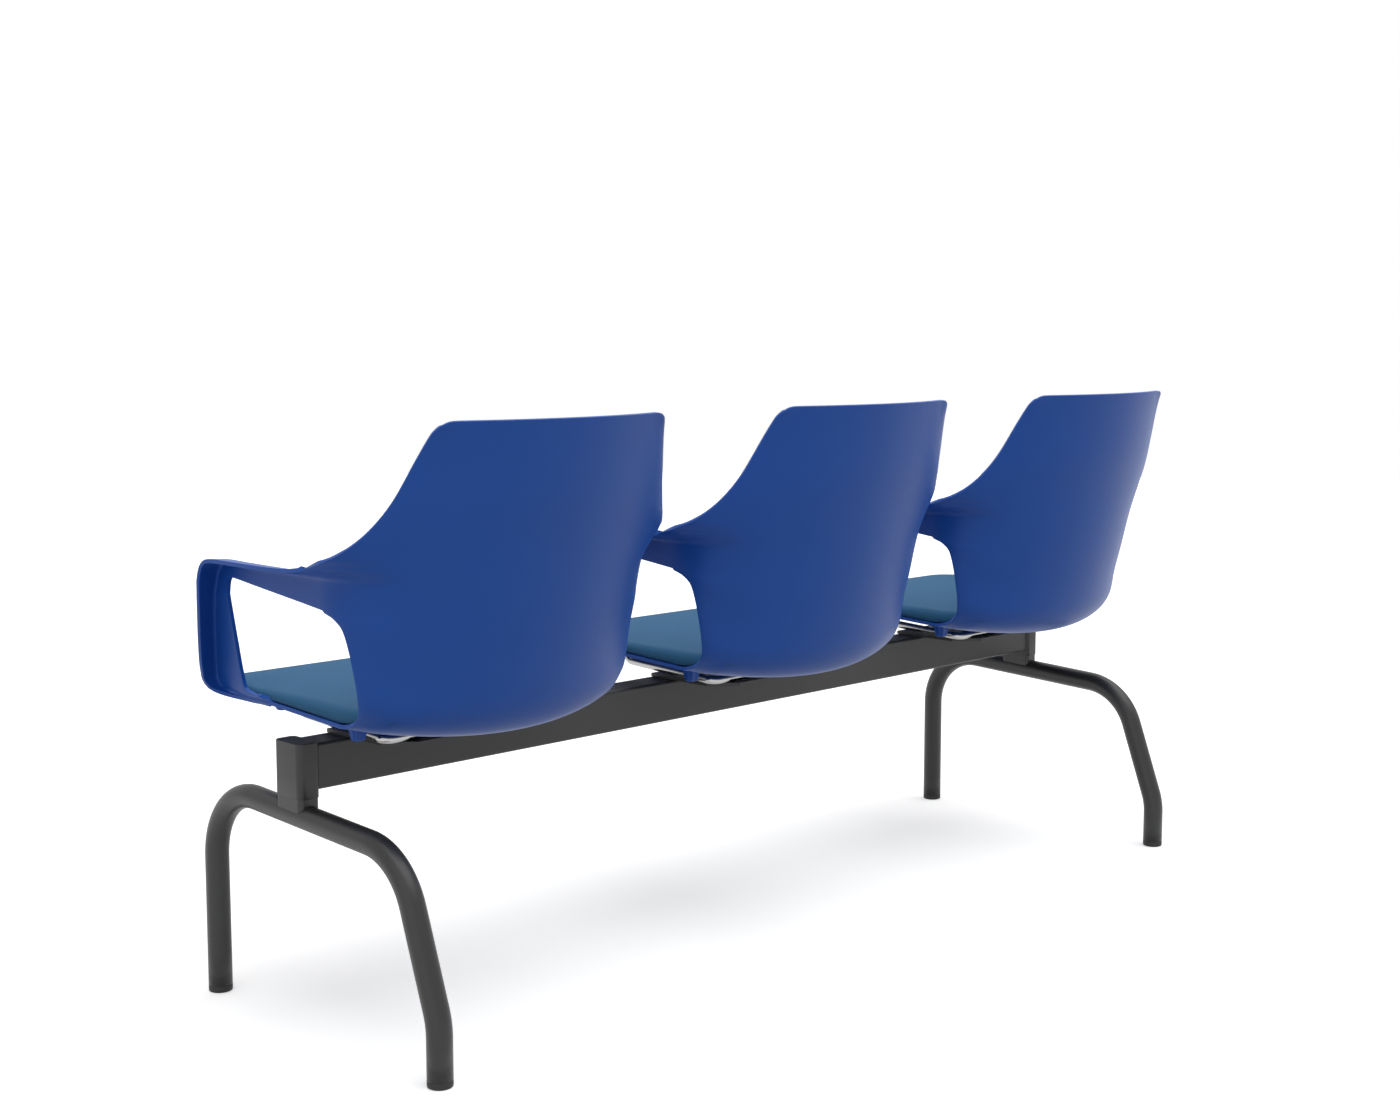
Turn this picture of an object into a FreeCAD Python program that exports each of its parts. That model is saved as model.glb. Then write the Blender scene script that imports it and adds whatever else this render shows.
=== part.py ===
# Beam seating: three one-piece bucket seats with loop arms on a steel beam
# and two bent-tube leg frames. Millimetres, +Z up, the sitter faces -Y and
# the sitter's left is +X. While the pieces are made y = 0 is the beam's
# middle plane; at the end all is moved so the origin is the bottom centre.
import FreeCAD
import Part
import math
import os

V = FreeCAD.Vector

# Seats in a row
seatCount = 3

# Beam and its two ends
beamHigh = 60.0
beamWide = 50.0
beamWall = 3.0
beamCorner = 4.0
beamTop = 371.0
slipFit = 0.3

# Leg tube
tubeDia = 32.0
tubeWall = 2.5
tubeBend = 96.0
barMid = 278.1
barFall = 0.0515
frontFootY = -196.1
rearVertexY = 217.6
rearFootY = 287.2
rearVertexZ = 76.0
glideHigh = 9.0
glideStem = 22.0

# Post head over the leg tube
headWide = 31.0
headDeep = 58.0
headOverBar = 24.0
headBottom = barMid + headOverBar
headRise = 2.5
headWall = 3.0
headInnerRadius = 6.5
headOuterRadius = 9.0
postRecess = 1.0
spigotLong = 70.0
spigotWall = 3.0
screwDia = 8.0

# Seat shell
shellThick = 5.0
webX = 240.0
armRearY = 136.0
turnBase = 383.0
turnIn = 72.2
turnHigh = 67.3
turnPower = 2.753
panTilt = 0.099
panDish = 0.00025
crownRise = 14.35
rimX = 205.0
topRadius = 27.0

# Pad, board and frame under a seat
padLevel = 432.0
padCrown = 4.0
padGap = 0.8
boardThick = 6.0
rodDia = 12.0
rodX = 135.0
rodRearY = 112.0
plateThick = 5.0

armHalf = 271.5
seatGap = 37.0
endReach = 175.5
seatPitch = 2 * armHalf + seatGap
beamHalf = seatPitch + endReach
xLeg = beamHalf + headWide / 2 + 0.1


def lerp(a, b, t):
    return a + (b - a) * t


def spline(xs, ys):
    # Natural cubic spline through (xs, ys), straight lines beyond its ends.
    n = len(xs)
    h = [xs[i + 1] - xs[i] for i in range(n - 1)]
    m = [0.0] * n
    low = [0.0] * n
    rhs = [0.0] * n
    diag = [1.0] * n
    for i in range(1, n - 1):
        low[i] = h[i - 1]
        diag[i] = 2 * (h[i - 1] + h[i])
        rhs[i] = 6 * ((ys[i + 1] - ys[i]) / h[i] - (ys[i] - ys[i - 1]) / h[i - 1])
    for i in range(2, n - 1):
        w = low[i] / diag[i - 1]
        diag[i] -= w * h[i - 1]
        rhs[i] -= w * rhs[i - 1]
    for i in range(n - 2, 0, -1):
        m[i] = (rhs[i] - h[i] * m[i + 1]) / diag[i]

    def at(x):
        if x <= xs[0]:
            s = (ys[1] - ys[0]) / h[0] - h[0] * m[1] / 6
            return ys[0] + s * (x - xs[0])
        if x >= xs[-1]:
            s = (ys[-1] - ys[-2]) / h[-1] + h[-1] * m[-2] / 6
            return ys[-1] + s * (x - xs[-1])
        i = 0
        while x > xs[i + 1]:
            i += 1
        a = (xs[i + 1] - x) / h[i]
        b = (x - xs[i]) / h[i]
        bend = ((a ** 3 - a) * m[i] + (b ** 3 - b) * m[i + 1]) * h[i] ** 2 / 6
        return a * ys[i] + b * ys[i + 1] + bend

    return at


def monotone(xs, ys):
    # Piecewise cubic that never overshoots between two points.
    n = len(xs)
    h = [xs[i + 1] - xs[i] for i in range(n - 1)]
    d = [(ys[i + 1] - ys[i]) / h[i] for i in range(n - 1)]
    m = [d[0]] + [0.0] * (n - 2) + [d[-1]]
    for i in range(1, n - 1):
        if d[i - 1] * d[i] > 0:
            w1 = 2 * h[i] + h[i - 1]
            w2 = h[i] + 2 * h[i - 1]
            m[i] = (w1 + w2) / (w1 / d[i - 1] + w2 / d[i])

    def at(x):
        i = 0
        while i < n - 2 and x > xs[i + 1]:
            i += 1
        t = (x - xs[i]) / h[i]
        return (ys[i] * (2 * t ** 3 - 3 * t ** 2 + 1) + h[i] * m[i] * (t ** 3 - 2 * t ** 2 + t)
                + ys[i + 1] * (3 * t ** 2 - 2 * t ** 3) + h[i] * m[i + 1] * (t ** 3 - t ** 2))

    return at


def resample(keys, marks, count):
    # Keys are equal-length number lists, marks give each key's travel.
    curves = [monotone(marks, [k[i] for k in keys]) for i in range(len(keys[0]))]
    out = []
    for i in range(count):
        x = marks[0] + (marks[-1] - marks[0]) * i / (count - 1)
        out.append([c(x) for c in curves])
    return out


def travel(tracks):
    # Mean running length of several point tracks that share their index.
    marks = [0.0]
    for i in range(1, len(tracks[0])):
        step = sum((t[i] - t[i - 1]).Length for t in tracks) / len(tracks)
        marks.append(marks[-1] + step)
    return marks


# Plan radius and rear-most line of the outer skin, by level
skinRadius = spline([415, 467, 520, 580, 620, 650, 700, 785],
                    [389.5, 340.2, 336.4, 349.8, 380.9, 398, 400, 412])
skinRear = spline([415, 480, 560, 640, 679, 734, 785],
                  [241.0, 259.6, 279.3, 296.5, 306.5, 317.5, 328.0])


def turnInset(level):
    # Superellipse that rolls the back wall into the underside of the pan.
    t = min(1.0, max(0.0, (turnBase + turnHigh - level) / turnHigh))
    return turnIn * (1 - (1 - t ** turnPower) ** (1 / turnPower))


def levelRise(x, y, level):
    c = min(1.0, max(0.0, 1 - (level - turnBase) / 120))
    return (panTilt * (200 - y) + crownRise * (x / 200) ** 2) * c


def rimLevel(y):
    return 413.35 - 0.0545 * y


def panLevel(x, y):
    # Underside of the pan ahead of the turn.
    mid = turnBase + panTilt * (200 - y) - panDish * max(0.0, 110 - y) ** 2
    return mid + (rimLevel(y) - mid) * (x / rimX) ** 2


def wallPoint(level, x):
    inset = turnInset(level)
    r = skinRadius(level)
    y = skinRear(level) - r + math.sqrt((r - inset) ** 2 - x ** 2)
    return V(x, y, level + levelRise(x, y, level))


def wallRow(key, cols):
    # Arc in plan up to a share of the half width, then a cubic to the edge
    # point that arrives there in the given way.
    level, ex, ey, ez, wx, wy, wz, share = key
    xb = ex * share
    ub = 0.74
    a = wallPoint(level, xb)
    ta = a - wallPoint(level, xb - 1.0)
    ta.normalize()
    tb = V(wx, wy, wz)
    tb.normalize()
    b = V(ex, ey, ez)
    gap = (b - a).Length
    line = []
    for c in cols:
        u = abs(c)
        if u <= ub:
            p = wallPoint(level, xb * u / ub)
        else:
            t = (u - ub) / (1 - ub)
            p = (a * (2 * t ** 3 - 3 * t ** 2 + 1)
                 + ta * (gap * (t ** 3 - 2 * t ** 2 + t))
                 + b * (3 * t ** 2 - 2 * t ** 3)
                 + tb * (gap * (t ** 3 - t ** 2)))
        line.append(V(p.x if c >= 0 else -p.x, p.y, p.z))
    return line


def panRow(key, cols):
    # Nearly straight row of the pan, let down by the roll of the front lip.
    yMid, ex, ey, down = key
    line = []
    for c in cols:
        y = lerp(yMid, ey, c * c)
        line.append(V(ex * c, y, panLevel(ex * c, max(y, -176)) - down))
    return line


def wallKeys():
    # Level, edge point, way of arrival and share of plain arc, top to turn
    keys = []
    for level, x, y in [(784.5, 180, 289.5), (762, 189, 277), (739, 197.8, 266.3),
                        (716, 206.3, 256.5), (696, 214, 247.5), (676, 224, 237),
                        (658, 235.4, 225.3), (644, 246.5, 214)]:
        keys.append((level, x, y, level, 0.85, -0.6, 0, 0.82))
    y = armRearY
    for level, edge, way in [
            (630, (259.5, 197, 630), (0.7, -0.72, -0.1)),
            (618, (268.5, 171, 618.5), (0.25, -0.96, -0.25)),
            (610, (270.5, y, 607), (0, -1, -0.16)),
            (603, (255, y, 602), (0, -1, -0.1)),
            (595, (243, y, 596), (0, -1, 0)),
            (584, (webX, y, 584), (0, -1, 0.02)),
            (570, (webX, y, 571), (0, -1, 0.06)),
            (556, (webX, y, 558), (0, -1, 0.1))]:
        keys.append((level,) + edge + way + (0.76,))
    for level, edge, way, share in [
            (541, (237.2, 153, 549.5), (0.15, -0.97, 0.15), 0.79),
            (524, (232.3, 164, 537), (0.3, -0.94, 0.1), 0.82),
            (506, (226.8, 167.8, 514), (0.42, -0.9, 0), 0.85),
            (486, (221.5, 169.6, 486), (0.4, -0.9, 0), 0.85),
            (466, (217.6, 170, 464), (0.35, -0.93, 0), 0.85),
            (447, (213.8, 168, 443), (0.3, -0.95, 0), 0.85),
            (430, (210, 161, 428.5), (0.3, -0.95, -0.1), 0.85),
            (415, (207, 152, 419.6), (0.4, -0.9, -0.1), 0.85),
            (403, (205.5, 142, 413.5), (0.5, -0.85, 0), 0.85),
            (394, (205, 131, 409.5), (0.6, -0.78, 0.03), 0.85),
            (387.5, (205, 118, 407), (0.75, -0.65, 0.08), 0.85),
            (384.2, (205, 104, rimLevel(104)), (0.85, -0.5, 0.1), 0.85),
            (383.0, (205, 88, rimLevel(88)), (0.92, -0.38, 0.12), 0.85)]:
        keys.append((level,) + edge + way + (share,))
    return keys


def skinGrid():
    cols = columns(13)
    keys = wallKeys()
    rear = [wallPoint(k[0], 0) for k in keys]
    mid = [wallPoint(k[0], k[1] * 0.7) for k in keys]
    edge = [V(*k[1:4]) for k in keys]
    grid = [wallRow(k, cols) for k in resample(keys, travel([rear, mid, edge]), 44)]
    pan = [(133, 205, 70, 0), (90, 205, 38, 0), (40, 205, -3, 0), (-10, 205, -45, 0),
           (-60, 207, -86, 0), (-103, 210.5, -120, 0), (-140, 210, -148, 0.4),
           (-168, 204, -168, 2), (-188, 193, -185, 5), (-200, 183, -196, 9), (-206, 174, -202, 14)]
    rear = [V(0, k[0], k[3]) for k in pan]
    edge = [V(k[1], k[2], k[3]) for k in pan]
    grid += [panRow(k, cols) for k in resample(pan, travel([rear, edge]), 27)]
    return grid


def columns(half):
    return [i / half for i in range(-half, half + 1)]


def offsetGrid(grid, distance):
    # Each point goes along the local normal, from differences of neighbours.
    n = len(grid)
    m = len(grid[0])
    out = []
    for i in range(n):
        line = []
        for j in range(m):
            da = grid[min(i + 1, n - 1)][j] - grid[max(i - 1, 0)][j]
            db = grid[i][min(j + 1, m - 1)] - grid[i][max(j - 1, 0)]
            normal = da.cross(db)
            normal.normalize()
            line.append(grid[i][j] + normal * distance)
        out.append(line)
    return out


def gridSolid(outer, inner):
    # Two interpolated skins closed by ruled strips along their four edges.
    faces = []
    skins = []
    for grid in (outer, inner):
        s = Part.BSplineSurface()
        s.interpolate(grid)
        skins.append(s)
        faces.append(s.toShape())
    a, b = skins
    u0, u1, v0, v1 = a.bounds()
    p0, p1, q0, q1 = b.bounds()
    pairs = [(a.uIso(u0), b.uIso(p0)), (a.uIso(u1), b.uIso(p1)),
             (a.vIso(v0), b.vIso(q0)), (a.vIso(v1), b.vIso(q1))]
    for c, d in pairs:
        strip = Part.makeLoft([Part.Wire(c.toShape()), Part.Wire(d.toShape())], False, True)
        faces += strip.Faces
    shell = Part.makeShell(faces)
    shell.sewShape()
    solid = Part.makeSolid(shell)
    if solid.Volume < 0:
        solid.reverse()
    return solid


def webAt(z):
    return min(webX, 209.0 + 0.2375 * (z - 427.0))


def armKeys():
    # Stations round the loop: opening edge, crease and flange edge.
    return [
        ((139.0, 557.7), (139.0, 597.5), (270.3, 139.0, 607.7)),
        ((100.0, 562.2), (100.0, 597.5), (271.0, 100.0, 602.5)),
        ((40.0, 568.8), (40.0, 597.5), (271.0, 40.0, 601.0)),
        ((-20.0, 575.4), (-20.0, 597.5), (271.0, -20.0, 601.0)),
        ((-50.0, 578.8), (-60.0, 598.2), (271.0, -56.0, 601.0)),
        ((-62.5, 579.8), (-78.5, 596.0), (271.5, -73.0, 599.0)),
        ((-68.5, 577.5), (-89.5, 588.5), (271.5, -81.5, 591.5)),
        ((-71.5, 572.0), (-95.0, 577.5), (271.5, -86.0, 579.0)),
        ((-73.5, 562.0), (-100.0, 562.0), (269.0, -91.5, 563.0)),
        ((-78.0, 530.0), (-114.5, 530.0), (260.5, -106.0, 530.0)),
        ((-83.0, 490.0), (-131.0, 490.0), (250.5, -122.5, 490.0)),
        ((-87.5, 450.0), (-145.0, 450.0), (239.0, -139.0, 450.0)),
        ((-88.0, 437.0), (-147.5, 438.0), (233.5, -145.0, 438.0)),
        ((-85.5, 428.5), (-144.5, 429.0), (227.0, -143.5, 429.0)),
        ((-78.0, 422.5), (-134.0, 423.5), (217.0, -135.0, 423.5)),
        ((-70.0, 419.2), (-122.0, 420.0), (211.0, -123.0, 420.0))]


def armStations():
    keys = [o + k + f for o, k, f in armKeys()]
    tracks = [[V(0, k[0], k[1]) for k in keys], [V(0, k[2], k[3]) for k in keys],
              [V(*k[4:7]) for k in keys]]
    return resample(keys, travel(tracks), 44)


def armWeb():
    outer = []
    inner = []
    for oy, oz, ky, kz, fx, fy, fz in armStations():
        dy = ky - oy
        dz = kz - oz
        size = math.hypot(dy, dz)
        ky += dy / size * 4.4
        kz += dz / size * 4.4
        lineA = []
        lineB = []
        for i in range(6):
            y = lerp(oy, ky, i / 5)
            z = lerp(oz, kz, i / 5)
            x = webAt(z)
            lineA.append(V(x - 0.3, y, z))
            lineB.append(V(x - shellThick + 0.3, y, z))
        outer.append(lineA)
        inner.append(lineB)
    return gridSolid(outer, inner)


def armFlange():
    # Band outboard of the web: lower skin from crease to edge, and the same
    # moved out by the thickness across the loop.
    lower = []
    upper = []
    keys = armStations()
    for i, (oy, oz, ky, kz, fx, fy, fz) in enumerate(keys):
        a = keys[max(i - 1, 0)][2:4]
        b = keys[min(i + 1, len(keys) - 1)][2:4]
        along = V(0, b[0] - a[0], b[1] - a[1])
        along.normalize()
        out = V(0, along.z, -along.y)
        start = V(webAt(kz) - 3.2, ky, kz)
        end = V(fx, fy, fz)
        lineA = []
        lineB = []
        for j in range(5):
            p = start + (end - start) * (j / 4)
            lineA.append(p)
            lineB.append(p + out * (shellThick - 0.4))
        lower.append(lineA)
        upper.append(lineB)
    return gridSolid(lower, upper)


def prismX(points, x0, x1):
    # Straight prism along x of a closed outline given in (y, z).
    loop = [V(x0, y, z) for y, z in points]
    wire = Part.makePolygon(loop + [loop[0]])
    return Part.Face(wire).extrude(V(x1 - x0, 0, 0))


def boss(x, y, tip):
    # Fluted moulded foot: a tapered block with two grooves.
    top = panLevel(x, y) + 2.0
    block = None
    for dx, wide in [(-8.2, 4.6), (0, 5.4), (8.2, 4.6)]:
        a = Part.makePolygon([V(x + dx - wide / 2, y - 12, top), V(x + dx + wide / 2, y - 12, top),
                              V(x + dx + wide / 2, y + 12, top), V(x + dx - wide / 2, y + 12, top),
                              V(x + dx - wide / 2, y - 12, top)])
        k = 0.72
        b = Part.makePolygon([V(x + (dx - wide / 2) * k, y - 7, tip), V(x + (dx + wide / 2) * k, y - 7, tip),
                              V(x + (dx + wide / 2) * k, y + 7, tip), V(x + (dx - wide / 2) * k, y + 7, tip),
                              V(x + (dx - wide / 2) * k, y - 7, tip)])
        rib = Part.makeLoft([a, b], True, True)
        block = rib if block is None else block.fuse(rib)
    core = Part.makeLoft([
        Part.makePolygon([V(x - 9, y - 8, top), V(x + 9, y - 8, top), V(x + 9, y + 8, top),
                          V(x - 9, y + 8, top), V(x - 9, y - 8, top)]),
        Part.makePolygon([V(x - 6, y - 5, tip + 1), V(x + 6, y - 5, tip + 1), V(x + 6, y + 5, tip + 1),
                          V(x - 6, y + 5, tip + 1), V(x - 6, y - 5, tip + 1)])], True, True)
    return block.fuse(core)


def topCornerCutter(side):
    # Rounds the corner between the top edge and the leaning side edge.
    dx = 9.0
    dz = 23.0
    run = math.hypot(dx, dz)
    cz = 785.0 - topRadius
    cx = 180.0 + dx * topRadius / dz - topRadius * run / dz
    slope = dx / dz
    far = 60.0
    points = [V(cx, 180, cz), V(cx, 180, cz + far), V(cx + far, 180, cz + far),
              V(cx + far, 180, cz + far * slope), V(cx, 180, cz)]
    wedge = Part.Face(Part.makePolygon(points)).extrude(V(0, 200, 0))
    cut = wedge.cut(Part.makeCylinder(topRadius, 220, V(cx, 170, cz), V(0, 1, 0)))
    if side < 0:
        cut = cut.mirror(V(0, 0, 0), V(1, 0, 0))
    return cut


def tubeAlong(points, radius, bend):
    # Solid rod along straight runs joined by round bends.
    pts = [V(*p) for p in points]
    edges = []
    last = pts[0]
    for i in range(1, len(pts) - 1):
        d0 = (pts[i] - pts[i - 1]).normalize()
        d1 = (pts[i + 1] - pts[i]).normalize()
        turn = d0.getAngle(d1)
        cutBack = bend * math.tan(turn / 2)
        a = pts[i] - d0 * cutBack
        b = pts[i] + d1 * cutBack
        toward = (d1 - d0).normalize()
        mid = pts[i] + toward * (bend / math.cos(turn / 2) - bend)
        if (a - last).Length > 0.01:
            edges.append(Part.makeLine(last, a))
        edges.append(Part.Arc(a, mid, b).toShape())
        last = b
    edges.append(Part.makeLine(last, pts[-1]))
    spine = Part.Wire(edges)
    ring = Part.Wire(Part.makeCircle(radius, pts[0], pts[1] - pts[0]))
    return spine.makePipeShell([ring], True, True)


def roundBox(x0, x1, y0, y1, z0, z1, rx0, rx1):
    # Upright block with one corner radius at x0 and another at x1.
    box = Part.makeBox(x1 - x0, y1 - y0, z1 - z0, V(x0, y0, z0))
    for x, r in ((x0, rx0), (x1, rx1)):
        edges = [e for e in box.Edges
                 if abs(e.Vertexes[0].X - x) < 0.01 and abs(e.Vertexes[1].X - x) < 0.01
                 and abs(e.Vertexes[0].Z - e.Vertexes[1].Z) > 1]
        if r > 0:
            box = box.makeFillet(r, edges)
    return box


def hexScrew(x, y, zHead, zTip, dia, headDia, headHigh, up):
    # Round-headed hexagon-socket screw; up is the way its tip points.
    sign = 1 if up else -1
    shank = Part.makeCylinder(dia / 2, abs(zTip - zHead), V(x, y, zHead), V(0, 0, sign))
    head = Part.makeCylinder(headDia / 2, headHigh, V(x, y, zHead), V(0, 0, -sign))
    head = head.makeFillet(headHigh * 0.35, [e for e in head.Edges
                                             if abs(e.CenterOfMass.z - (zHead - sign * headHigh)) < 0.01
                                             and e.Length > headDia])
    key = dia * 0.36
    ring = [V(x + key * math.cos(i * math.pi / 3), y + key * math.sin(i * math.pi / 3),
              zHead - sign * headHigh) for i in range(7)]
    socket = Part.Face(Part.makePolygon(ring)).extrude(V(0, 0, sign * headHigh * 0.7))
    return shank.fuse(head).cut(socket)


# Seat shell, made once at x = 0
grid = skinGrid()
ribbon = gridSolid(grid, offsetGrid(grid, shellThick))
arm = armWeb().fuse(armFlange())
shellOne = ribbon.cut(topCornerCutter(1)).cut(topCornerCutter(-1))
shellOne = shellOne.fuse([arm, arm.mirror(V(0, 0, 0), V(1, 0, 0))])
bossX = 168.0
bossRows = ((101.0, 385.0), (-64.0, 401.0))
shellOne = shellOne.fuse([boss(side * bossX, y, tip) for side in (1, -1) for y, tip in bossRows])
print("shell", shellOne.isValid(), len(shellOne.Solids), len(shellOne.Faces), shellOne.BoundBox)


# Pad: outline in plan, a rolled and crowned top skin, a fitted underside
padHalf = rimX - 2.0
padFront = -184.0
padCorner = 46.0
padArc = skinRadius(432) - shellThick - 4.0
padRear = skinRear(432) - shellThick - 4.0
padRoll = 13.0
padRollFront = 3.6
padDraw = 2.5
padMid = V(0, 25, 0)


def padArcY(x):
    return padRear - padArc + math.sqrt(padArc ** 2 - x * x)


def padSide():
    # Right half of the outline from the front corner to the rear corner.
    pts = []
    for i in range(7):
        t = math.pi / 2 * i / 6
        pts.append((padHalf - padCorner + padCorner * math.sin(t),
                    padFront + padCorner - padCorner * math.cos(t)))
    pts += [(padHalf, y) for y in (-90, -30, 30, 85, 122)]
    pts += [(padHalf - 1.5, 144), (padHalf - 7.5, 163), (182, padArcY(182))]
    return pts


def edgeDistance(x, y, loop):
    best = 1e9
    for (ax, ay), (bx, by) in zip(loop, loop[1:]):
        dx = bx - ax
        dy = by - ay
        t = ((x - ax) * dx + (y - ay) * dy) / (dx * dx + dy * dy)
        t = min(1.0, max(0.0, t))
        best = min(best, math.hypot(x - ax - t * dx, y - ay - t * dy))
    return best


def panTop(x, y):
    # Upper skin of the pan as the pad meets it, with the turn's rise behind.
    reach = max(0.0, y - (128.0 - 0.16 * abs(x)))
    return panLevel(min(abs(x), rimX), y) + shellThick + 0.0030 * reach ** 2


def padGrids():
    side = padSide()
    marks = travel([[V(x, y, 0) for x, y in side]])
    edgeX = monotone(marks, [p[0] for p in side])
    edgeY = monotone(marks, [p[1] for p in side])
    steps = [0, 0.7, 2, 4, 6.8, 10.5, 16, 25, 38, 55, 78]
    long = padRear - padFront
    down = steps + [105, 137, 170, 203, 236, 269, 302, 330] + [long - d for d in reversed(steps)]
    down = sorted(set(round(d, 3) for d in down))
    loop = [(edgeX(m), edgeY(m)) for m in [marks[-1] * i / 90 for i in range(91)]]
    behind = [(182 * (1 - i / 20), padArcY(182 * (1 - i / 20))) for i in range(21)]
    half = loop + behind[1:]
    full = half + [(-x, y) for x, y in reversed(half[:-1])] + [half[0]]
    top = []
    bottom = []
    for d in down:
        yMid = padFront + d
        m = marks[-1] * d / long
        ex = edgeX(m)
        ey = edgeY(m)
        if d >= long:
            ex, ey = 182.0, padArcY(182)
        us = [1 - s / ex for s in steps] + [0.45, 0.3, 0.15]
        us = [-u for u in us] + [0.0] + list(reversed(us))
        lineA = []
        lineB = []
        for u in us:
            x = ex * u
            bow = (padArc - math.sqrt(padArc ** 2 - x * x)) / (padArc - math.sqrt(padArc ** 2 - ex * ex))
            y = yMid + (ey - yMid) * bow
            gap = edgeDistance(x, y, full)
            bend = min(padRoll, max(padRollFront, padRollFront + 0.05 * (y + 140)))
            t = max(0.0, 1 - gap / bend)
            roll = bend * (1 - math.sqrt(max(0.0, 1 - t * t)))
            rise = padCrown * (1 - (1 - min(1.0, gap / 120.0)) ** 2)
            z = padLevel - roll + rise
            lineA.append(V(x, y, z))
            way = V(x, y, 0) - padMid
            k = 1 - padDraw / max(way.Length, 60.0)
            bx = padMid.x + way.x * k
            by = padMid.y + way.y * k
            lineB.append(V(bx, by, panTop(bx, by) + padGap))
        top.append(lineA)
        bottom.append(lineB)
    return top, bottom


# Board inside the pad, a flat tilted panel over the dish of the pan
boardX = 158.0
boardY0 = -150.0
boardY1 = 150.0
boardSlope = -0.05
boardRest = 413.6


def tiltedPlate(x0, x1, y0, y1, zMid, thick, radius):
    # Flat panel whose underside is zMid at y = 0, sloped along y.
    box = Part.makeBox(x1 - x0, y1 - y0, thick, V(x0, y0, 0))
    if radius > 0:
        upright = [e for e in box.Edges if abs(e.Vertexes[0].Z - e.Vertexes[1].Z) > thick / 2]
        box = box.makeFillet(radius, upright)
    box.rotate(V(0, 0, 0), V(1, 0, 0), math.degrees(math.atan(boardSlope)))
    box.translate(V(0, 0, zMid))
    return box


padTop, padUnder = padGrids()
padOne = gridSolid(padTop, padUnder)
boardOne = tiltedPlate(-boardX, boardX, boardY0, boardY1, boardRest, boardThick, 30.0)
pocket = tiltedPlate(-boardX - slipFit, boardX + slipFit, boardY0 - slipFit, boardY1 + slipFit,
                     boardRest - 30, boardThick + 30, 30.3)
padOne = padOne.cut(pocket)
print("pad", padOne.isValid(), len(padOne.Solids), round(padOne.Volume / 1000), padOne.BoundBox)

# Carrier plate on the beam and the rod frame welded to it
plateHalf = 128.0
plateRear = 127.0
rodZ = beamTop + plateThick + rodDia / 2 + 0.3
rodSlope = -0.05
rodEndY = -70.0
rodBend = 20.0
tabLong = 50.0
tabWide = 26.0
tabThick = 4.0
tabSlope = (panLevel(rodX, -96.0) - panLevel(rodX, -98.0)) / 2
screwSmall = 6.0
screwClear = 0.3
spacerX = 75.0
spacerY = 85.0
frontScrewY = -97.0
boltX = 60.0
boltDia = 8.0

plate = Part.makeBox(2 * plateHalf, plateRear + beamWide / 2, plateThick,
                     V(-plateHalf, -beamWide / 2, beamTop))
upright = [e for e in plate.Edges if abs(e.Vertexes[0].Z - e.Vertexes[1].Z) > 1
           and e.Vertexes[0].Y > 0]
plate = plate.makeChamfer(34.0, upright)
rodZFront = rodZ + rodSlope * (rodEndY - rodRearY)
tabTopZ = panLevel(rodX - tabWide / 2, frontScrewY) - 0.8
ends = tabTopZ + tabSlope * (rodEndY - frontScrewY) - tabThick + 1.5
rodPath = [(rodX, rodEndY, ends), (rodX, rodEndY, rodZFront), (rodX, rodRearY, rodZ),
           (-rodX, rodRearY, rodZ), (-rodX, rodEndY, rodZFront), (-rodX, rodEndY, ends)]
rodFrame = tubeAlong(rodPath, rodDia / 2, 13.0)
for side in (1, -1):
    tab = Part.makeBox(tabWide, tabLong, tabThick, V(-tabWide / 2, -tabLong / 2, -tabThick))
    tab = tab.makeFillet(8.0, [e for e in tab.Edges if abs(e.Vertexes[0].Z - e.Vertexes[1].Z) > 1])
    tab = tab.cut(Part.makeCylinder(screwSmall / 2 + screwClear, 20, V(0, -11, -12)))
    tab.rotate(V(0, 0, 0), V(1, 0, 0), math.degrees(math.atan(tabSlope)))
    tab.translate(V(side * rodX, frontScrewY + 11, tabTopZ + tabSlope * 11))
    rodFrame = rodFrame.fuse(tab)
rodFrame = rodFrame.removeSplitter()
print("rod", rodFrame.isValid(), len(rodFrame.Solids), rodFrame.BoundBox)

boltCentres = [(boltX, 0.0), (-boltX, 0.0)]
rearCentres = [(spacerX, spacerY), (-spacerX, spacerY)]
frontCentres = [(rodX, frontScrewY), (-rodX, frontScrewY)]
for x, y in boltCentres:
    plate = plate.cut(Part.makeCylinder(boltDia / 2 + screwClear, 20, V(x, y, beamTop - 5)))
for x, y in rearCentres:
    plate = plate.cut(Part.makeCylinder(screwSmall / 2 + screwClear, 20, V(x, y, beamTop - 5)))
plateBolts = Part.makeCompound([hexScrew(x, y, beamTop + plateThick, beamTop - 9.0, boltDia, 14.0, 4.4, False)
                                for x, y in boltCentres])
spacerTop = panLevel(spacerX - 9, spacerY + 9) - 0.4
spacers = []
for x, y in rearCentres:
    tall = spacerTop - beamTop - plateThick
    body = Part.makeCone(11.0, 8.5, tall, V(x, y, beamTop + plateThick))
    spacers.append(body.cut(Part.makeCylinder(screwSmall / 2 + screwClear, tall + 2,
                                              V(x, y, beamTop + plateThick - 1))))
spacers = Part.makeCompound(spacers)
screws = []
for x, y in rearCentres:
    tip = boardRest + boardSlope * y + 5.0
    screws.append(hexScrew(x, y, beamTop, tip, screwSmall, 11.0, 3.6, True))
for x, y in frontCentres:
    tip = boardRest + boardSlope * y + 5.0
    screws.append(hexScrew(x, y, tabTopZ - tabThick - 0.9, tip, screwSmall, 11.0, 3.6, True))
shellScrews = Part.makeCompound(screws)
for x, y in rearCentres + frontCentres:
    hole = Part.makeCylinder(screwSmall / 2 + screwClear, 60, V(x, y, 380))
    shellOne = shellOne.cut(hole)
    boardOne = boardOne.cut(hole)
print("holes", shellOne.isValid(), boardOne.isValid())

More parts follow.
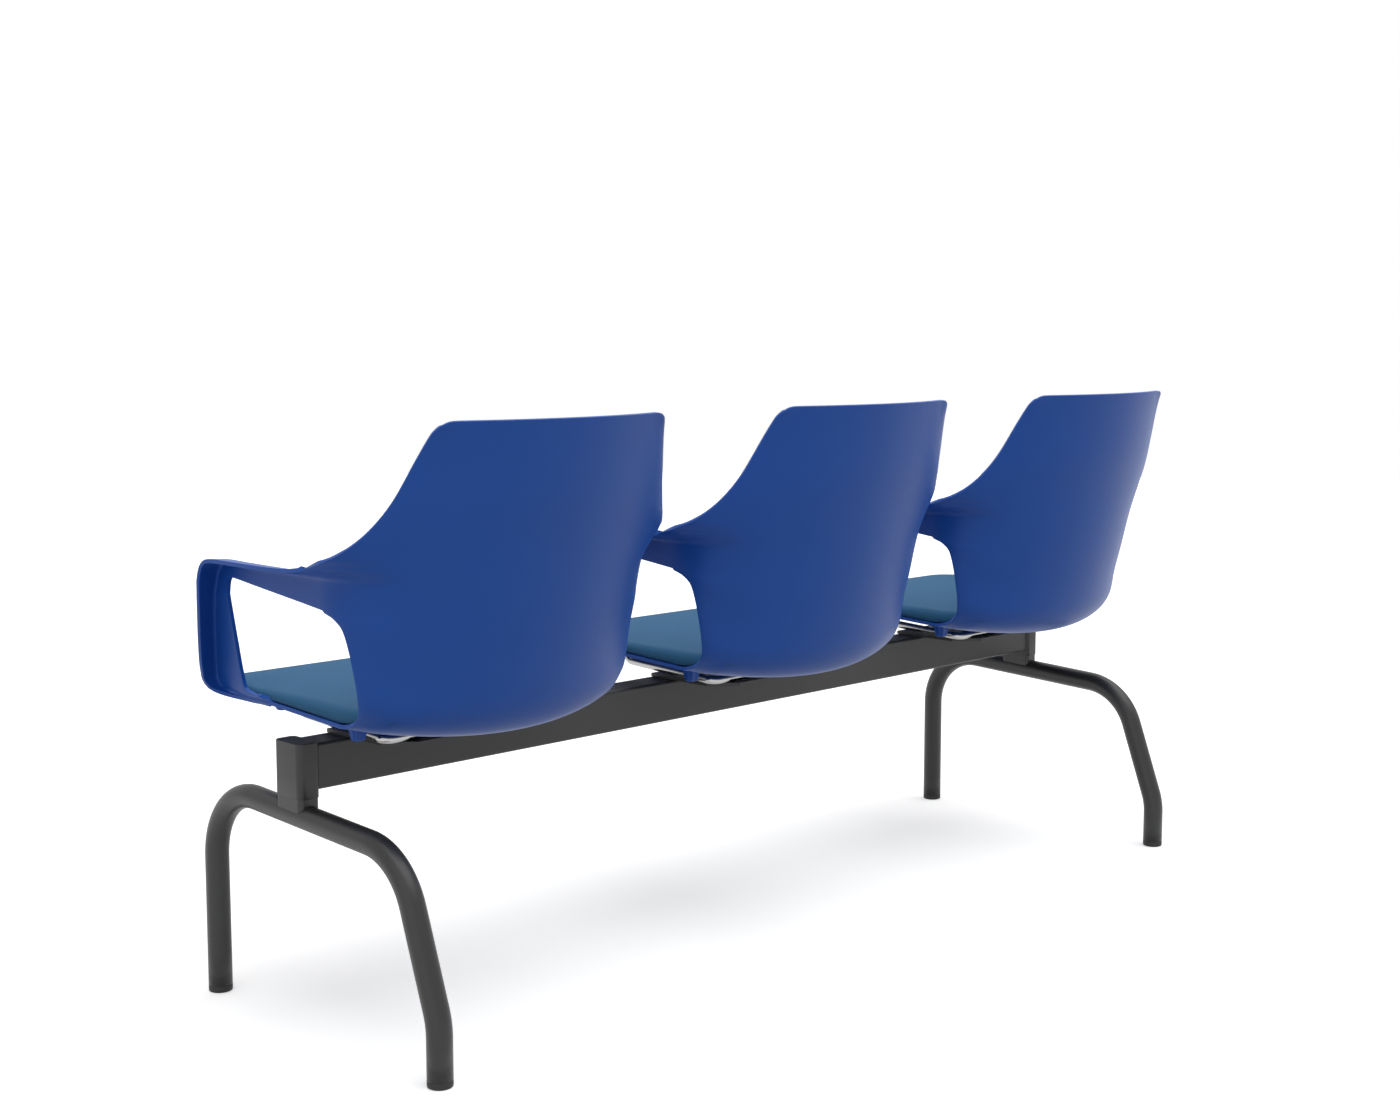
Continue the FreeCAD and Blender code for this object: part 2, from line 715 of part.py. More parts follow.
# Beam, with clearance holes for the plate bolts and the end screws
beam = Part.makeBox(2 * beamHalf, beamWide, beamHigh, V(-beamHalf, -beamWide / 2, beamTop - beamHigh))
beam = beam.makeFillet(beamCorner, [e for e in beam.Edges if e.Length > 1000])
bore = Part.makeBox(2 * beamHalf + 2, beamWide - 2 * beamWall, beamHigh - 2 * beamWall,
                    V(-beamHalf - 1, -beamWide / 2 + beamWall, beamTop - beamHigh + beamWall))
beam = beam.cut(bore)
seatCentres = [seatPitch * ((seatCount - 1) / 2 - i) for i in range(seatCount)]
for sx in seatCentres:
    for x, y in boltCentres:
        beam = beam.cut(Part.makeCylinder(boltDia / 2 + screwClear, 20, V(sx + x, y, beamTop - 10)))
endScrewX = [beamHalf - 20.0, beamHalf - 50.0]
beamFloor = beamTop - beamHigh
for side in (1, -1):
    for x in endScrewX:
        beam = beam.cut(Part.makeCylinder(screwDia / 2 + screwClear, 10, V(side * x, 0, beamFloor - 3)))


# Left leg, post and head; the right ones are their mirror images
legPath = [(xLeg, frontFootY, glideHigh), (xLeg, frontFootY, barMid - barFall * frontFootY),
           (xLeg, rearVertexY, barMid - barFall * rearVertexY), (xLeg, rearFootY, rearVertexZ), (xLeg, rearFootY, glideHigh)]
leg = tubeAlong(legPath, tubeDia / 2, tubeBend)
legBore = [(xLeg, frontFootY, glideHigh - 1)] + legPath[1:4] + [(xLeg, rearFootY, glideHigh - 1)]
leg = leg.cut(tubeAlong(legBore, tubeDia / 2 - tubeWall, tubeBend))
print("leg", leg.isValid(), leg.BoundBox)

headX0 = beamHalf + 0.1
headX1 = headX0 + headWide
headTop = beamTop + headRise
cap = roundBox(headX0, headX1, -headDeep / 2, headDeep / 2, headBottom, headTop, headInnerRadius, headOuterRadius)
capTopEdges = [e for e in cap.Edges if all(v.Z > headTop - 0.01 for v in e.Vertexes)]
cap = cap.makeFillet(0.8, capTopEdges)
capHollow = roundBox(headX0 + headWall, headX1 - headWall, -headDeep / 2 + headWall, headDeep / 2 - headWall,
                     headBottom - 1, headTop - headWall, headInnerRadius - headWall, headOuterRadius - headWall)
spigotWide = beamWide - 2 * beamWall - 2 * slipFit
spigotHigh = beamHigh - 2 * beamWall - 2 * slipFit
spigotZ = beamTop - beamHigh + beamWall + slipFit
window = Part.makeBox(20, spigotWide + 2 * slipFit, spigotHigh + 2 * slipFit,
                      V(headX0 - 5, -spigotWide / 2 - slipFit, spigotZ - slipFit))
cap = cap.cut(capHollow).cut(window)
core = roundBox(headX0 + headWall + slipFit, headX1 - headWall - slipFit,
                -headDeep / 2 + headWall + slipFit, headDeep / 2 - headWall - slipFit,
                headBottom - 2, headTop - headWall - slipFit,
                headInnerRadius - headWall - slipFit, headOuterRadius - headWall - slipFit)
foot = roundBox(headX0 + postRecess, headX1 - postRecess, -headDeep / 2 + postRecess, headDeep / 2 - postRecess,
                barMid + 0.2, headBottom, headInnerRadius - postRecess, headOuterRadius - postRecess)
spigot = Part.makeBox(spigotLong + 10, spigotWide, spigotHigh,
                      V(headX0 - spigotLong, -spigotWide / 2, spigotZ))
spigotBore = Part.makeBox(spigotLong, spigotWide - 2 * spigotWall, spigotHigh - 2 * spigotWall,
                          V(headX0 - spigotLong - 1, -spigotWide / 2 + spigotWall, spigotZ + spigotWall))
post = core.fuse([foot, spigot]).cut(spigotBore)
post = post.cut(Part.makeCylinder(tubeDia / 2 + slipFit, headDeep + 20,
                                  V(xLeg, -headDeep / 2 - 10, barMid + barFall * (headDeep / 2 + 10)),
                                  V(0, 1, -barFall)))
for x in endScrewX:
    post = post.cut(Part.makeCylinder(screwDia / 2 + screwClear, 12, V(x, 0, spigotZ - 4)))
post = post.removeSplitter()
print("post", post.isValid(), len(post.Solids), cap.isValid(), len(cap.Solids))
endScrews = Part.makeCompound([hexScrew(x, 0, beamFloor, beamFloor + 14.0, screwDia, 14.0, 4.4, True)
                               for x in endScrewX])


def glide(x, y):
    collar = Part.makeCylinder(tubeDia / 2, glideHigh, V(x, y, 0))
    collar = collar.makeFillet(2.0, [e for e in collar.Edges if e.CenterOfMass.z < 0.01 and e.Length > 50])
    stem = Part.makeCylinder(tubeDia / 2 - tubeWall - slipFit, glideStem, V(x, y, glideHigh - 1))
    return collar.fuse(stem)


nodes = {"beam_tube": beam}
mirror = [("left", 1), ("right", -1)]
for name, side in mirror:
    group = {"leg_frame_" + name: leg, "leg_post_" + name: post, "post_cap_" + name: cap,
             "beam_end_screws_" + name: endScrews, "foot_glide_front_" + name: glide(xLeg, frontFootY),
             "foot_glide_rear_" + name: glide(xLeg, rearFootY)}
    for key, shape in group.items():
        nodes[key] = shape if side > 0 else shape.mirror(V(0, 0, 0), V(1, 0, 0))
seatNodes = {"seat_shell": shellOne, "seat_pad": padOne, "pad_board": boardOne, "rod_frame": rodFrame,
             "carrier_plate": plate, "plate_bolts": plateBolts, "seat_spacers": spacers,
             "shell_screws": shellScrews}
for i, sx in enumerate(seatCentres):
    for key, shape in seatNodes.items():
        copy = shape.copy()
        copy.translate(V(sx, 0, 0))
        nodes[key + "_" + str(i + 1)] = copy

# Origin to the bottom centre of the whole
box = Part.makeCompound(list(nodes.values())).optimalBoundingBox(False, False)
shift = V(-(box.XMin + box.XMax) / 2, -(box.YMin + box.YMax) / 2, -box.ZMin)
print("shift", shift, "size", box.XLength, box.YLength, box.ZLength)
os.makedirs("parts", exist_ok=True)
for old in os.listdir("parts"):
    os.remove("parts/" + old)
for name, shape in nodes.items():
    shape.translate(shift)
    shape.exportStep("parts/" + name + ".step")
    if not shape.isValid():
        print("not valid:", name)
print(len(nodes), "nodes")
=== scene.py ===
import math

import bmesh
import bpy
import numpy as np
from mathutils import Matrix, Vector


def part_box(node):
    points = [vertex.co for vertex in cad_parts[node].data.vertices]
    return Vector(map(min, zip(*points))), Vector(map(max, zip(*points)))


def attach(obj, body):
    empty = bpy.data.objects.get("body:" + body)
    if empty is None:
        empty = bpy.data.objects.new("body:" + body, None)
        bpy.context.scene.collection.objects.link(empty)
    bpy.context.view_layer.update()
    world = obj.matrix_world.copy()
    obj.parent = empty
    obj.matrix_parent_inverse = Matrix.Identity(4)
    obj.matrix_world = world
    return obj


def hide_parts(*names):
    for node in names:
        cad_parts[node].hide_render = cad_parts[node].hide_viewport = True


# Beam seating seen from behind. All shapes are worked out in millimetres with
# y = 0 at the middle of the beam, and moved into the frame when a mesh is made.
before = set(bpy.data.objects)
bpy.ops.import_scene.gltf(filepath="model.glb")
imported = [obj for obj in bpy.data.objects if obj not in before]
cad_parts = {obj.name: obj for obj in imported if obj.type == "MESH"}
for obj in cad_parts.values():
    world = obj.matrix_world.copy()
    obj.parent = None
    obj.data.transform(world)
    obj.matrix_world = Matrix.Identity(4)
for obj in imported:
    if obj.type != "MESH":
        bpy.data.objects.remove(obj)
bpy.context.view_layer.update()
mm = 0.001
beamDeep = 50.0
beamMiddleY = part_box("beam_tube")[0].y + beamDeep / 2 * mm
seatPitch = 580.0
seatX = [seatPitch, 0.0, -seatPitch]
print("frame loaded", len(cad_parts), "nodes")


def toFrame(points):
    # Millimetres about the beam's middle plane become metres in the frame.
    out = np.asarray(points, float) * mm
    out[..., 1] += beamMiddleY
    return out


def gridFaces(rows, cols, flip=False, closed=False):
    # Quads between neighbouring rows and columns; closed joins last to first.
    index = np.arange(rows * cols).reshape(rows, cols)
    if closed:
        index = np.concatenate([index, index[:, :1]], axis=1)
    quads = np.stack([index[:-1, :-1], index[:-1, 1:], index[1:, 1:], index[1:, :-1]], axis=-1)
    quads = quads.reshape(-1, 4)
    return quads[:, ::-1] if flip else quads


def makeMesh(name, parts, merge=0.0):
    # Parts are (points, faces) with faces counted from zero in each part.
    points, faces, start = [], [], 0
    for pts, fcs in parts:
        pts = np.asarray(pts, float).reshape(-1, 3)
        points.append(toFrame(pts))
        faces += (np.asarray(fcs) + start).tolist()
        start += len(pts)
    mesh = bpy.data.meshes.new(name)
    mesh.from_pydata(np.concatenate(points).tolist(), [], faces)
    if merge > 0:
        bm = bmesh.new()
        bm.from_mesh(mesh)
        bmesh.ops.remove_doubles(bm, verts=bm.verts, dist=merge * mm)
        bm.to_mesh(mesh)
        bm.free()
    mesh.shade_smooth()
    piece = bpy.data.objects.new(name, mesh)
    bpy.context.scene.collection.objects.link(piece)
    return piece


def addModifier(piece, kind, **settings):
    # Settings are given by the modifier's own names for them.
    m = piece.modifiers.new(kind.title(), kind)
    for key, value in settings.items():
        setattr(m, key, value)


def applyModifiers(piece):
    # The evaluated mesh takes the place of the piece's own.
    graph = bpy.context.evaluated_depsgraph_get()
    mesh = bpy.data.meshes.new_from_object(piece.evaluated_get(graph))
    piece.modifiers.clear()
    piece.data = mesh
    mesh.shade_smooth()


def copyAt(piece, name, dx):
    # A copy moved sideways in its own points, so that it stays at the origin.
    twin = bpy.data.objects.new(name, piece.data.copy())
    co = np.empty(len(twin.data.vertices) * 3, np.float32)
    twin.data.vertices.foreach_get("co", co)
    co[0::3] += dx * mm
    twin.data.vertices.foreach_set("co", co)
    bpy.context.scene.collection.objects.link(twin)
    return twin


def place(piece, nodes, material):
    # Gives the piece its material and takes the solids' place.
    piece.data.materials.clear()
    piece.data.materials.append(material)
    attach(piece, "root")
    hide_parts(*nodes)


def naturalCurve(xs, ys):
    # Natural cubic spline: second derivatives solve one linear system.
    xs, ys = np.array(xs, float), np.array(ys, float)
    h = np.diff(xs)
    n = len(xs)
    a = np.eye(n)
    b = np.zeros(n)
    for i in range(1, n - 1):
        a[i, i - 1:i + 2] = h[i - 1], 2 * (h[i - 1] + h[i]), h[i]
        b[i] = 6 * ((ys[i + 1] - ys[i]) / h[i] - (ys[i] - ys[i - 1]) / h[i - 1])
    m = np.linalg.solve(a, b)
    first = (ys[1] - ys[0]) / h[0] - h[0] * m[1] / 6
    last = (ys[-1] - ys[-2]) / h[-1] + h[-1] * m[-2] / 6

    def at(x):
        x = np.asarray(x, float)
        i = np.clip(np.searchsorted(xs, x) - 1, 0, n - 2)
        p = (xs[i + 1] - x) / h[i]
        q = (x - xs[i]) / h[i]
        bend = ((p ** 3 - p) * m[i] + (q ** 3 - q) * m[i + 1]) * h[i] ** 2 / 6
        y = p * ys[i] + q * ys[i + 1] + bend
        y = np.where(x < xs[0], ys[0] + first * (x - xs[0]), y)
        return np.where(x > xs[-1], ys[-1] + last * (x - xs[-1]), y)

    return at


def steadyCurve(marks, values):
    # Piecewise cubic with harmonic-mean slopes, so it never overshoots.
    marks = np.array(marks, float)
    values = np.array(values, float)
    h = np.diff(marks)[:, None]
    d = np.diff(values, axis=0) / h
    m = np.zeros_like(values)
    m[0], m[-1] = d[0], d[-1]
    w1 = 2 * h[1:] + h[:-1]
    w2 = h[1:] + 2 * h[:-1]
    same = d[:-1] * d[1:] > 0
    safe0 = np.where(same, d[:-1], 1.0)
    safe1 = np.where(same, d[1:], 1.0)
    m[1:-1] = np.where(same, (w1 + w2) / (w1 / safe0 + w2 / safe1), 0.0)

    def at(x):
        x = np.asarray(x, float)
        i = np.clip(np.searchsorted(marks, x) - 1, 0, len(marks) - 2)
        step = h[i]
        t = ((x - marks[i]) / step[:, 0])[:, None]
        return (values[i] * (2 * t ** 3 - 3 * t ** 2 + 1) + step * m[i] * (t ** 3 - 2 * t ** 2 + t)
                + values[i + 1] * (3 * t ** 2 - 2 * t ** 3) + step * m[i + 1] * (t ** 3 - t ** 2))

    return at


def reach(v):
    # Length of each vector, kept as a last axis of one.
    return np.linalg.norm(v, axis=-1, keepdims=True)


def unit(v):
    return v / np.maximum(reach(v), 1e-9)


def travel(*tracks):
    # Distance along several lines at once, as the mean of their steps.
    steps = [np.linalg.norm(np.diff(track, axis=0), axis=1) for track in tracks]
    return np.concatenate([[0], np.cumsum(np.mean(steps, axis=0))])


def smoothStep(x, low, high):
    # From 0 at low to 1 at high, level at both ends.
    t = np.clip((x - low) / (high - low), 0, 1)
    return t * t * (3 - 2 * t)


def squared(wave, power):
    # A sine or cosine pushed outwards, which squares up a round outline.
    return np.sign(wave) * np.abs(wave) ** power


shell = {
    "thick": 5.0,
    "edgeRound": 1.5,
    "webX": 240.0,          # outside of the arm web
    "webFoot": 209.0, "webFootZ": 427.0, "webLean": 0.2375,
    "tailX": 204.0, "tailOut": 1.3,     # where the loop's tail meets the rim
    "armRear": 136.0,       # where the arm grows out of the wall
    "turnBase": 383.0, "turnIn": 72.2, "turnHigh": 67.3, "turnPower": 2.753,
    "turnFade": 120.0,      # height over which tilt and crown die out
    "tilt": 0.099, "tiltFrom": 200.0,
    "dish": 0.00025, "dishFrom": 110.0,
    "crown": 14.35, "crownHalf": 200.0,
    "rimX": 205.0, "rimZ": 413.35, "rimFall": 0.0545,
    "topLevel": 785.0, "topHalf": 180.0, "topCorner": 27.0,
    "sideRun": 9.0, "sideFall": 23.0,   # lean of the side edge at the top
    "halfColumns": 38, "rowsAbove": 36, "rowsBelow": 45, "panRows": 46,
    "armColumns": 17, "armRows": 96,
    "plainShare": 0.74,     # share of the columns on the plain arc
    "creaseRound": 5.0, "creaseAt": 0.42, "creaseWide": 0.09,
    "lipEnd": -176.0,
}
skinRadius = naturalCurve([415, 467, 520, 580, 620, 650, 700, 785],
                          [389.5, 340.2, 336.4, 349.8, 380.9, 398, 400, 412])
skinRear = naturalCurve([415, 480, 560, 640, 679, 734, 785],
                        [241.0, 259.6, 279.3, 296.5, 306.5, 317.5, 328.0])


def rimLevel(y):
    # The pan's rim falls evenly towards the rear.
    return shell["rimZ"] - shell["rimFall"] * y


def panLevel(x, y):
    # Underside of the pan: a tilted middle line, parabola up to the rim.
    mid = (shell["turnBase"] + shell["tilt"] * (shell["tiltFrom"] - y)
           - shell["dish"] * np.maximum(0, shell["dishFrom"] - y) ** 2)
    return mid + (rimLevel(y) - mid) * (x / shell["rimX"]) ** 2


def wallPoint(level, x):
    # Arc in plan whose radius and rear line go with the level; a
    # superellipse inset rolls it under, and tilt and crown lift the underside.
    level, x = np.broadcast_arrays(np.asarray(level, float), np.asarray(x, float))
    t = np.clip((shell["turnBase"] + shell["turnHigh"] - level) / shell["turnHigh"], 0, 1)
    inset = shell["turnIn"] * (1 - (1 - t ** shell["turnPower"]) ** (1 / shell["turnPower"]))
    r = skinRadius(level)
    y = skinRear(level) - r + np.sqrt((r - inset) ** 2 - x ** 2)
    c = np.clip(1 - (level - shell["turnBase"]) / shell["turnFade"], 0, 1)
    lift = shell["tilt"] * (shell["tiltFrom"] - y) + shell["crown"] * (x / shell["crownHalf"]) ** 2
    return np.stack([x, y, level + lift * c], axis=-1)


def wallKeys():
    # Level, edge point, way of arrival, share of plain arc; top to turn.
    y = shell["armRear"]
    rows = [(level, x, ye, level, 0.85, -0.6, 0, 0.82) for level, x, ye in
            [(785, 179.8, 289.8), (762, 189, 277), (739, 197.8, 266.3), (716, 206.3, 256.5),
             (696, 214, 247.5), (676, 224, 237), (658, 235.4, 225.3), (644, 246.5, 214)]]
    rows += [(630, 259.5, 197, 630, 0.7, -0.72, -0.1, 0.78),
             (618, 268.5, 171, 618.5, 0.25, -0.96, -0.25, 0.76)]
    lip = len(rows)
    rows += [(610, 270.5, y, 607, 0, -1, -0.16, 0.76), (603, 255, y, 602, 0, -1, -0.1, 0.76),
             (595, 243, y, 596, 0, -1, 0, 0.76), (584, 240, y, 584, 0, -1, 0.02, 0.76),
             (570, 240, y, 571, 0, -1, 0.06, 0.76), (556, 240, y, 558, 0, -1, 0.1, 0.76)]
    mouth = len(rows) - 1
    rows += [(541, 237.2, 153, 549.5, 0.15, -0.97, 0.15, 0.79),
             (524, 232.3, 164, 537, 0.3, -0.94, 0.1, 0.82),
             (506, 226.8, 167.8, 514, 0.42, -0.9, 0, 0.85), (486, 221.5, 169.6, 486, 0.4, -0.9, 0, 0.85),
             (466, 217.6, 170, 464, 0.35, -0.93, 0, 0.85), (447, 213.8, 168, 443, 0.3, -0.95, 0, 0.85),
             (430, 210, 161, 428.5, 0.3, -0.95, -0.1, 0.85), (415, 207, 152, 419.6, 0.4, -0.9, -0.1, 0.85),
             (403, 205.5, 142, 413.5, 0.5, -0.85, 0, 0.85), (394, 205, 131, 409.5, 0.6, -0.78, 0.03, 0.85),
             (387.5, 205, 118, 407, 0.75, -0.65, 0.08, 0.85),
             (384.2, 205, 104, rimLevel(104), 0.85, -0.5, 0.1, 0.85),
             (383.0, 205, 88, rimLevel(88), 0.92, -0.38, 0.12, 0.85)]
    return np.array(rows, float), lip, mouth


def armKeys():
    # Stations round the loop, each as flange edge, crease and opening edge.
    keys = [
        (270.5, 136, 607, 597.0, 136, 136, 558.0), (271, 100, 602.5, 597.5, 100, 100, 562.2),
        (271, 40, 601, 597.5, 40, 40, 568.8), (271, -20, 601, 597.7, -20, -20, 575.4),
        (271, -56, 601, 598.2, -60, -50, 578.8), (271.5, -73, 599, 596, -78.5, -62.5, 579.8),
        (271.5, -81.5, 591.5, 588.5, -89.5, -68.5, 577.5), (271.5, -86, 579, 577.5, -95, -71.5, 572),
        (269, -91.5, 563, 562, -100, -73.5, 562), (260.5, -106, 530, 530, -114.5, -78, 530),
        (250.5, -122.5, 490, 490, -131, -83, 490), (239, -139, 450, 450, -145, -87.5, 450),
        (233.5, -145, 438, 438, -147.5, -88, 437), (227.5, -143.5, 429, 429.2, -144.5, -85.5, 429),
        (218, -136, 423, 423.2, -135.5, -79, 427), (210.5, -120, 419.6, 419.8, -119, -70, 425.4),
        (207.2, -96, 418.3, 418.4, -95, -58, 423.9), (205.6, -66, 417.2, 417.3, -65, -42, 421.7),
        (204.4, -40, 416.8, 416.9, -40, -28, 419.6)]
    k = np.array(keys, float)
    flange = k[:, [0, 1, 2]]
    crease = np.stack([webAt(k[:, 4], k[:, 3]), k[:, 4], k[:, 3]], axis=1)
    mouth = np.stack([webAt(k[:, 5], k[:, 6]), k[:, 5], k[:, 6]], axis=1)
    return flange, crease, mouth


def panKeys():
    # Middle line's y, half width, rim's y and drop; from the turn to the lip.
    return np.array([(133, 205, 70, 0), (90, 205, 38, 0), (40, 205, -3, 0), (-10, 205, -45, 0),
                     (-60, 207, -86, 0), (-103, 210.5, -120, 0), (-140, 210, -148, 0.4),
                     (-168, 204, -168, 2), (-188, 193, -185, 5), (-200, 183, -196, 9),
                     (-206, 174, -202, 14)], float)


def webAt(y, z):
    # The web leans in towards the seat, and slips under the rim's face behind.
    x = np.minimum(shell["webX"], shell["webFoot"] + shell["webLean"] * (z - shell["webFootZ"]))
    rim = shell["tailX"] + shell["tailOut"] * smoothStep(-y, 30, 70)
    return x + (rim - x) * smoothStep(y, -118, -55) * smoothStep(-z, -424, -420)


def loopProfile(flange, crease, mouth, share):
    # Across the strip: flange edge, straight to the crease, rounded there,
    # then straight down the web to the opening edge.
    s = share[None, :, None]
    f, c, m = flange[:, None, :], crease[:, None, :], mouth[:, None, :]

    def back(way):
        # Start of the rounding, at most half way along
        return way * np.minimum(shell["creaseRound"] / np.maximum(reach(way), 0.1), 0.5)

    up = c + back(f - c)
    down = c + back(m - c)
    low, high = shell["creaseAt"] - shell["creaseWide"], shell["creaseAt"] + shell["creaseWide"]
    ta = np.clip(s / low, 0, 1)
    tb = np.clip((s - low) / (high - low), 0, 1)
    tc = np.clip((s - high) / (1 - high), 0, 1)
    first = f + (up - f) * ta
    curve = up * (1 - tb) ** 2 + c * 2 * tb * (1 - tb) + down * tb ** 2
    last = down + (m - down) * tc
    return np.where(s <= low, first, np.where(s >= high, last, curve))


def wallRows(rows, u):
    # Plain arc up to the share of the half width, then a cubic that arrives
    # at the edge point in the given way.
    xb = (rows[:, 1] * rows[:, 7])[:, None]
    level = rows[:, :1]
    ub = shell["plainShare"]
    arc = wallPoint(level + 0 * u, np.minimum(u / ub, 1) * xb)
    a = wallPoint(level, xb)
    ta = unit(a - wallPoint(level, xb - 1.0))
    b = rows[:, None, 1:4]
    tb = unit(rows[:, None, 4:7])
    gap = reach(b - a)
    t = np.clip((u - ub) / (1 - ub), 0, 1)[..., None]
    blend = (a * (2 * t ** 3 - 3 * t ** 2 + 1) + ta * gap * (t ** 3 - 2 * t ** 2 + t)
             + b * (3 * t ** 2 - 2 * t ** 3) + tb * gap * (t ** 3 - t ** 2))
    return np.where((u <= ub)[..., None], arc, blend)


def wallGrid(u, root):
    # Key rows from the top edge down to the turn; the middle ones end along
    # the arm's root.
    keys, lip, mouth = wallKeys()
    level = keys[:, 0]
    marks = travel(wallPoint(level, 0), wallPoint(level, keys[:, 1] * 0.7), keys[:, 1:4])
    curve = steadyCurve(marks, keys)
    above, across, below = shell["rowsAbove"], len(root), shell["rowsBelow"]
    t = np.concatenate([np.linspace(marks[0], marks[lip], above + 2)[1:-1],
                        np.linspace(marks[lip], marks[mouth], across),
                        np.linspace(marks[mouth], marks[-1], below + 1)[1:]])
    rows = curve(t)
    rows[above:above + across, 1:4] = root
    # Rows near the top end where the round corner meets them
    r = shell["topCorner"]
    slope = shell["sideRun"] / shell["sideFall"]
    middle = shell["topHalf"] + slope * r - r * math.hypot(1, slope)
    angle = np.linspace(math.pi / 2, math.atan(slope), 14)
    levels = shell["topLevel"] - r + r * np.sin(angle)
    tops = curve(np.interp(-levels, -rows[:, 0], t))
    tops[:, [0, 3]] = levels[:, None]
    rows = np.concatenate([tops, rows[rows[:, 0] < levels[-1] - 1]])
    dense = np.linspace(0, 1, 400)
    lines = wallRows(tops, dense[None, :])[..., 0]
    limit = np.ones(len(rows))
    limit[:len(tops)] = [np.interp(middle + r * math.cos(a), line, dense) for a, line in zip(angle, lines)]
    return wallRows(rows, u * limit[:, None])


def panGrid(u):
    # Rows straighten out towards the front and roll down at the lip.
    keys = panKeys()
    marks = travel(keys[:, [0, 3]], keys[:, [2, 3]])
    keys = steadyCurve(marks, keys)(np.linspace(0, marks[-1], shell["panRows"]))
    middle, half, rim, drop = keys.T[..., None]
    x = half * u
    y = middle + (rim - middle) * u * u
    return np.stack([x, y, panLevel(x, np.maximum(y, shell["lipEnd"])) - drop], axis=-1)


def loopGrid(root, share):
    # Stations by mean travel of flange edge, crease and opening edge.
    flange, crease, mouth = armKeys()
    marks = travel(flange, crease, mouth)
    curve = steadyCurve(marks, np.concatenate([flange, crease, mouth], axis=1))
    s = curve(np.linspace(0, marks[-1], shell["armRows"]))
    s[:, 3] = webAt(s[:, 4], s[:, 5])
    s[:, 6] = webAt(s[:, 7], s[:, 8])
    loop = loopProfile(s[:, 0:3], s[:, 3:6], s[:, 6:9], share)
    # The web keeps to its own leaning face between crease and opening
    onWeb = np.clip((share - 0.5) / 0.1, 0, 1)[None, :]
    loop[..., 0] += (webAt(loop[..., 1], loop[..., 2]) - loop[..., 0]) * onWeb
    loop[0] = root
    return loop.transpose(1, 0, 2)


def shellParts():
    # Wall and pan are one grid; the two loops meet it along the arm's root.
    half = shell["halfColumns"]
    u = np.abs(np.linspace(-1, 1, 2 * half + 1))[None, :]
    side = np.where(np.arange(-half, half + 1) < 0, -1, 1)[None, :]
    share = np.linspace(0, 1, shell["armColumns"])
    root = loopProfile(*[line[:1] for line in armKeys()], share)[0]
    grid = np.concatenate([wallGrid(u, root), panGrid(u)])
    grid[..., 0] *= side
    loop = loopGrid(root, share)
    other = loop * np.array([-1, 1, 1])
    return [(grid, gridFaces(*grid.shape[:2])),
            (loop, gridFaces(*loop.shape[:2])),
            (other, gridFaces(*other.shape[:2], flip=True))]


boss = {
    "x": 168.0,
    "rows": ((101.0, 385.0), (-64.0, 401.0)),   # y and lowest level
    "wide": 22.0, "deep": 21.0, "flute": 0.13,
    "flutes": 6, "corner": 0.55, "sink": 2.0,
}


def bossPart(x, y, tip):
    # Rounded block drawn in towards its tip, its outline waved by flutes.
    top = panLevel(x, y) + boss["sink"]
    around = np.linspace(0, 2 * math.pi, 72, endpoint=False)[None, :]
    down = np.array([0, 0.2, 0.4, 0.6, 0.8, 0.93, 0.985, 1.0, 1.0, 1.0])[:, None]
    scale = np.array([1.12, 1.05, 0.97, 0.89, 0.81, 0.75, 0.68, 0.58, 0.3, 0.02])[:, None]
    wave = 1 - boss["flute"] * (0.5 + 0.5 * np.cos(boss["flutes"] * around + math.pi)) * (scale > 0.6)
    px = squared(np.cos(around), boss["corner"]) * boss["wide"] / 2
    py = squared(np.sin(around), boss["corner"]) * boss["deep"] / 2
    pts = np.stack([x + px * scale * wave, y + py * scale * wave, top + (tip - top) * down + 0 * around],
                   axis=-1)
    return pts, gridFaces(*pts.shape[:2], closed=True, flip=True)


pad = {
    "half": 203.0, "front": -184.0, "corner": 46.0, "level": 432.0, "crown": 2.5,
    "roll": 13.0, "rollFront": 3.6, "rollGrowth": 0.05, "rollFrom": -140.0,
    "crownReach": 120.0,
    "clear": 4.0,           # from the shell's inside
    "rearHalf": 182.0,      # half width where side and rear arc meet
    "draw": 2.5, "drawMiddle": 25.0,
    "tuck": 5.0, "tuckFrom": 150.0, "tuckTo": 235.0,
    "turnFrom": 128.0, "turnLean": 0.16, "turnRise": 0.003,
    "gap": 0.9,
}


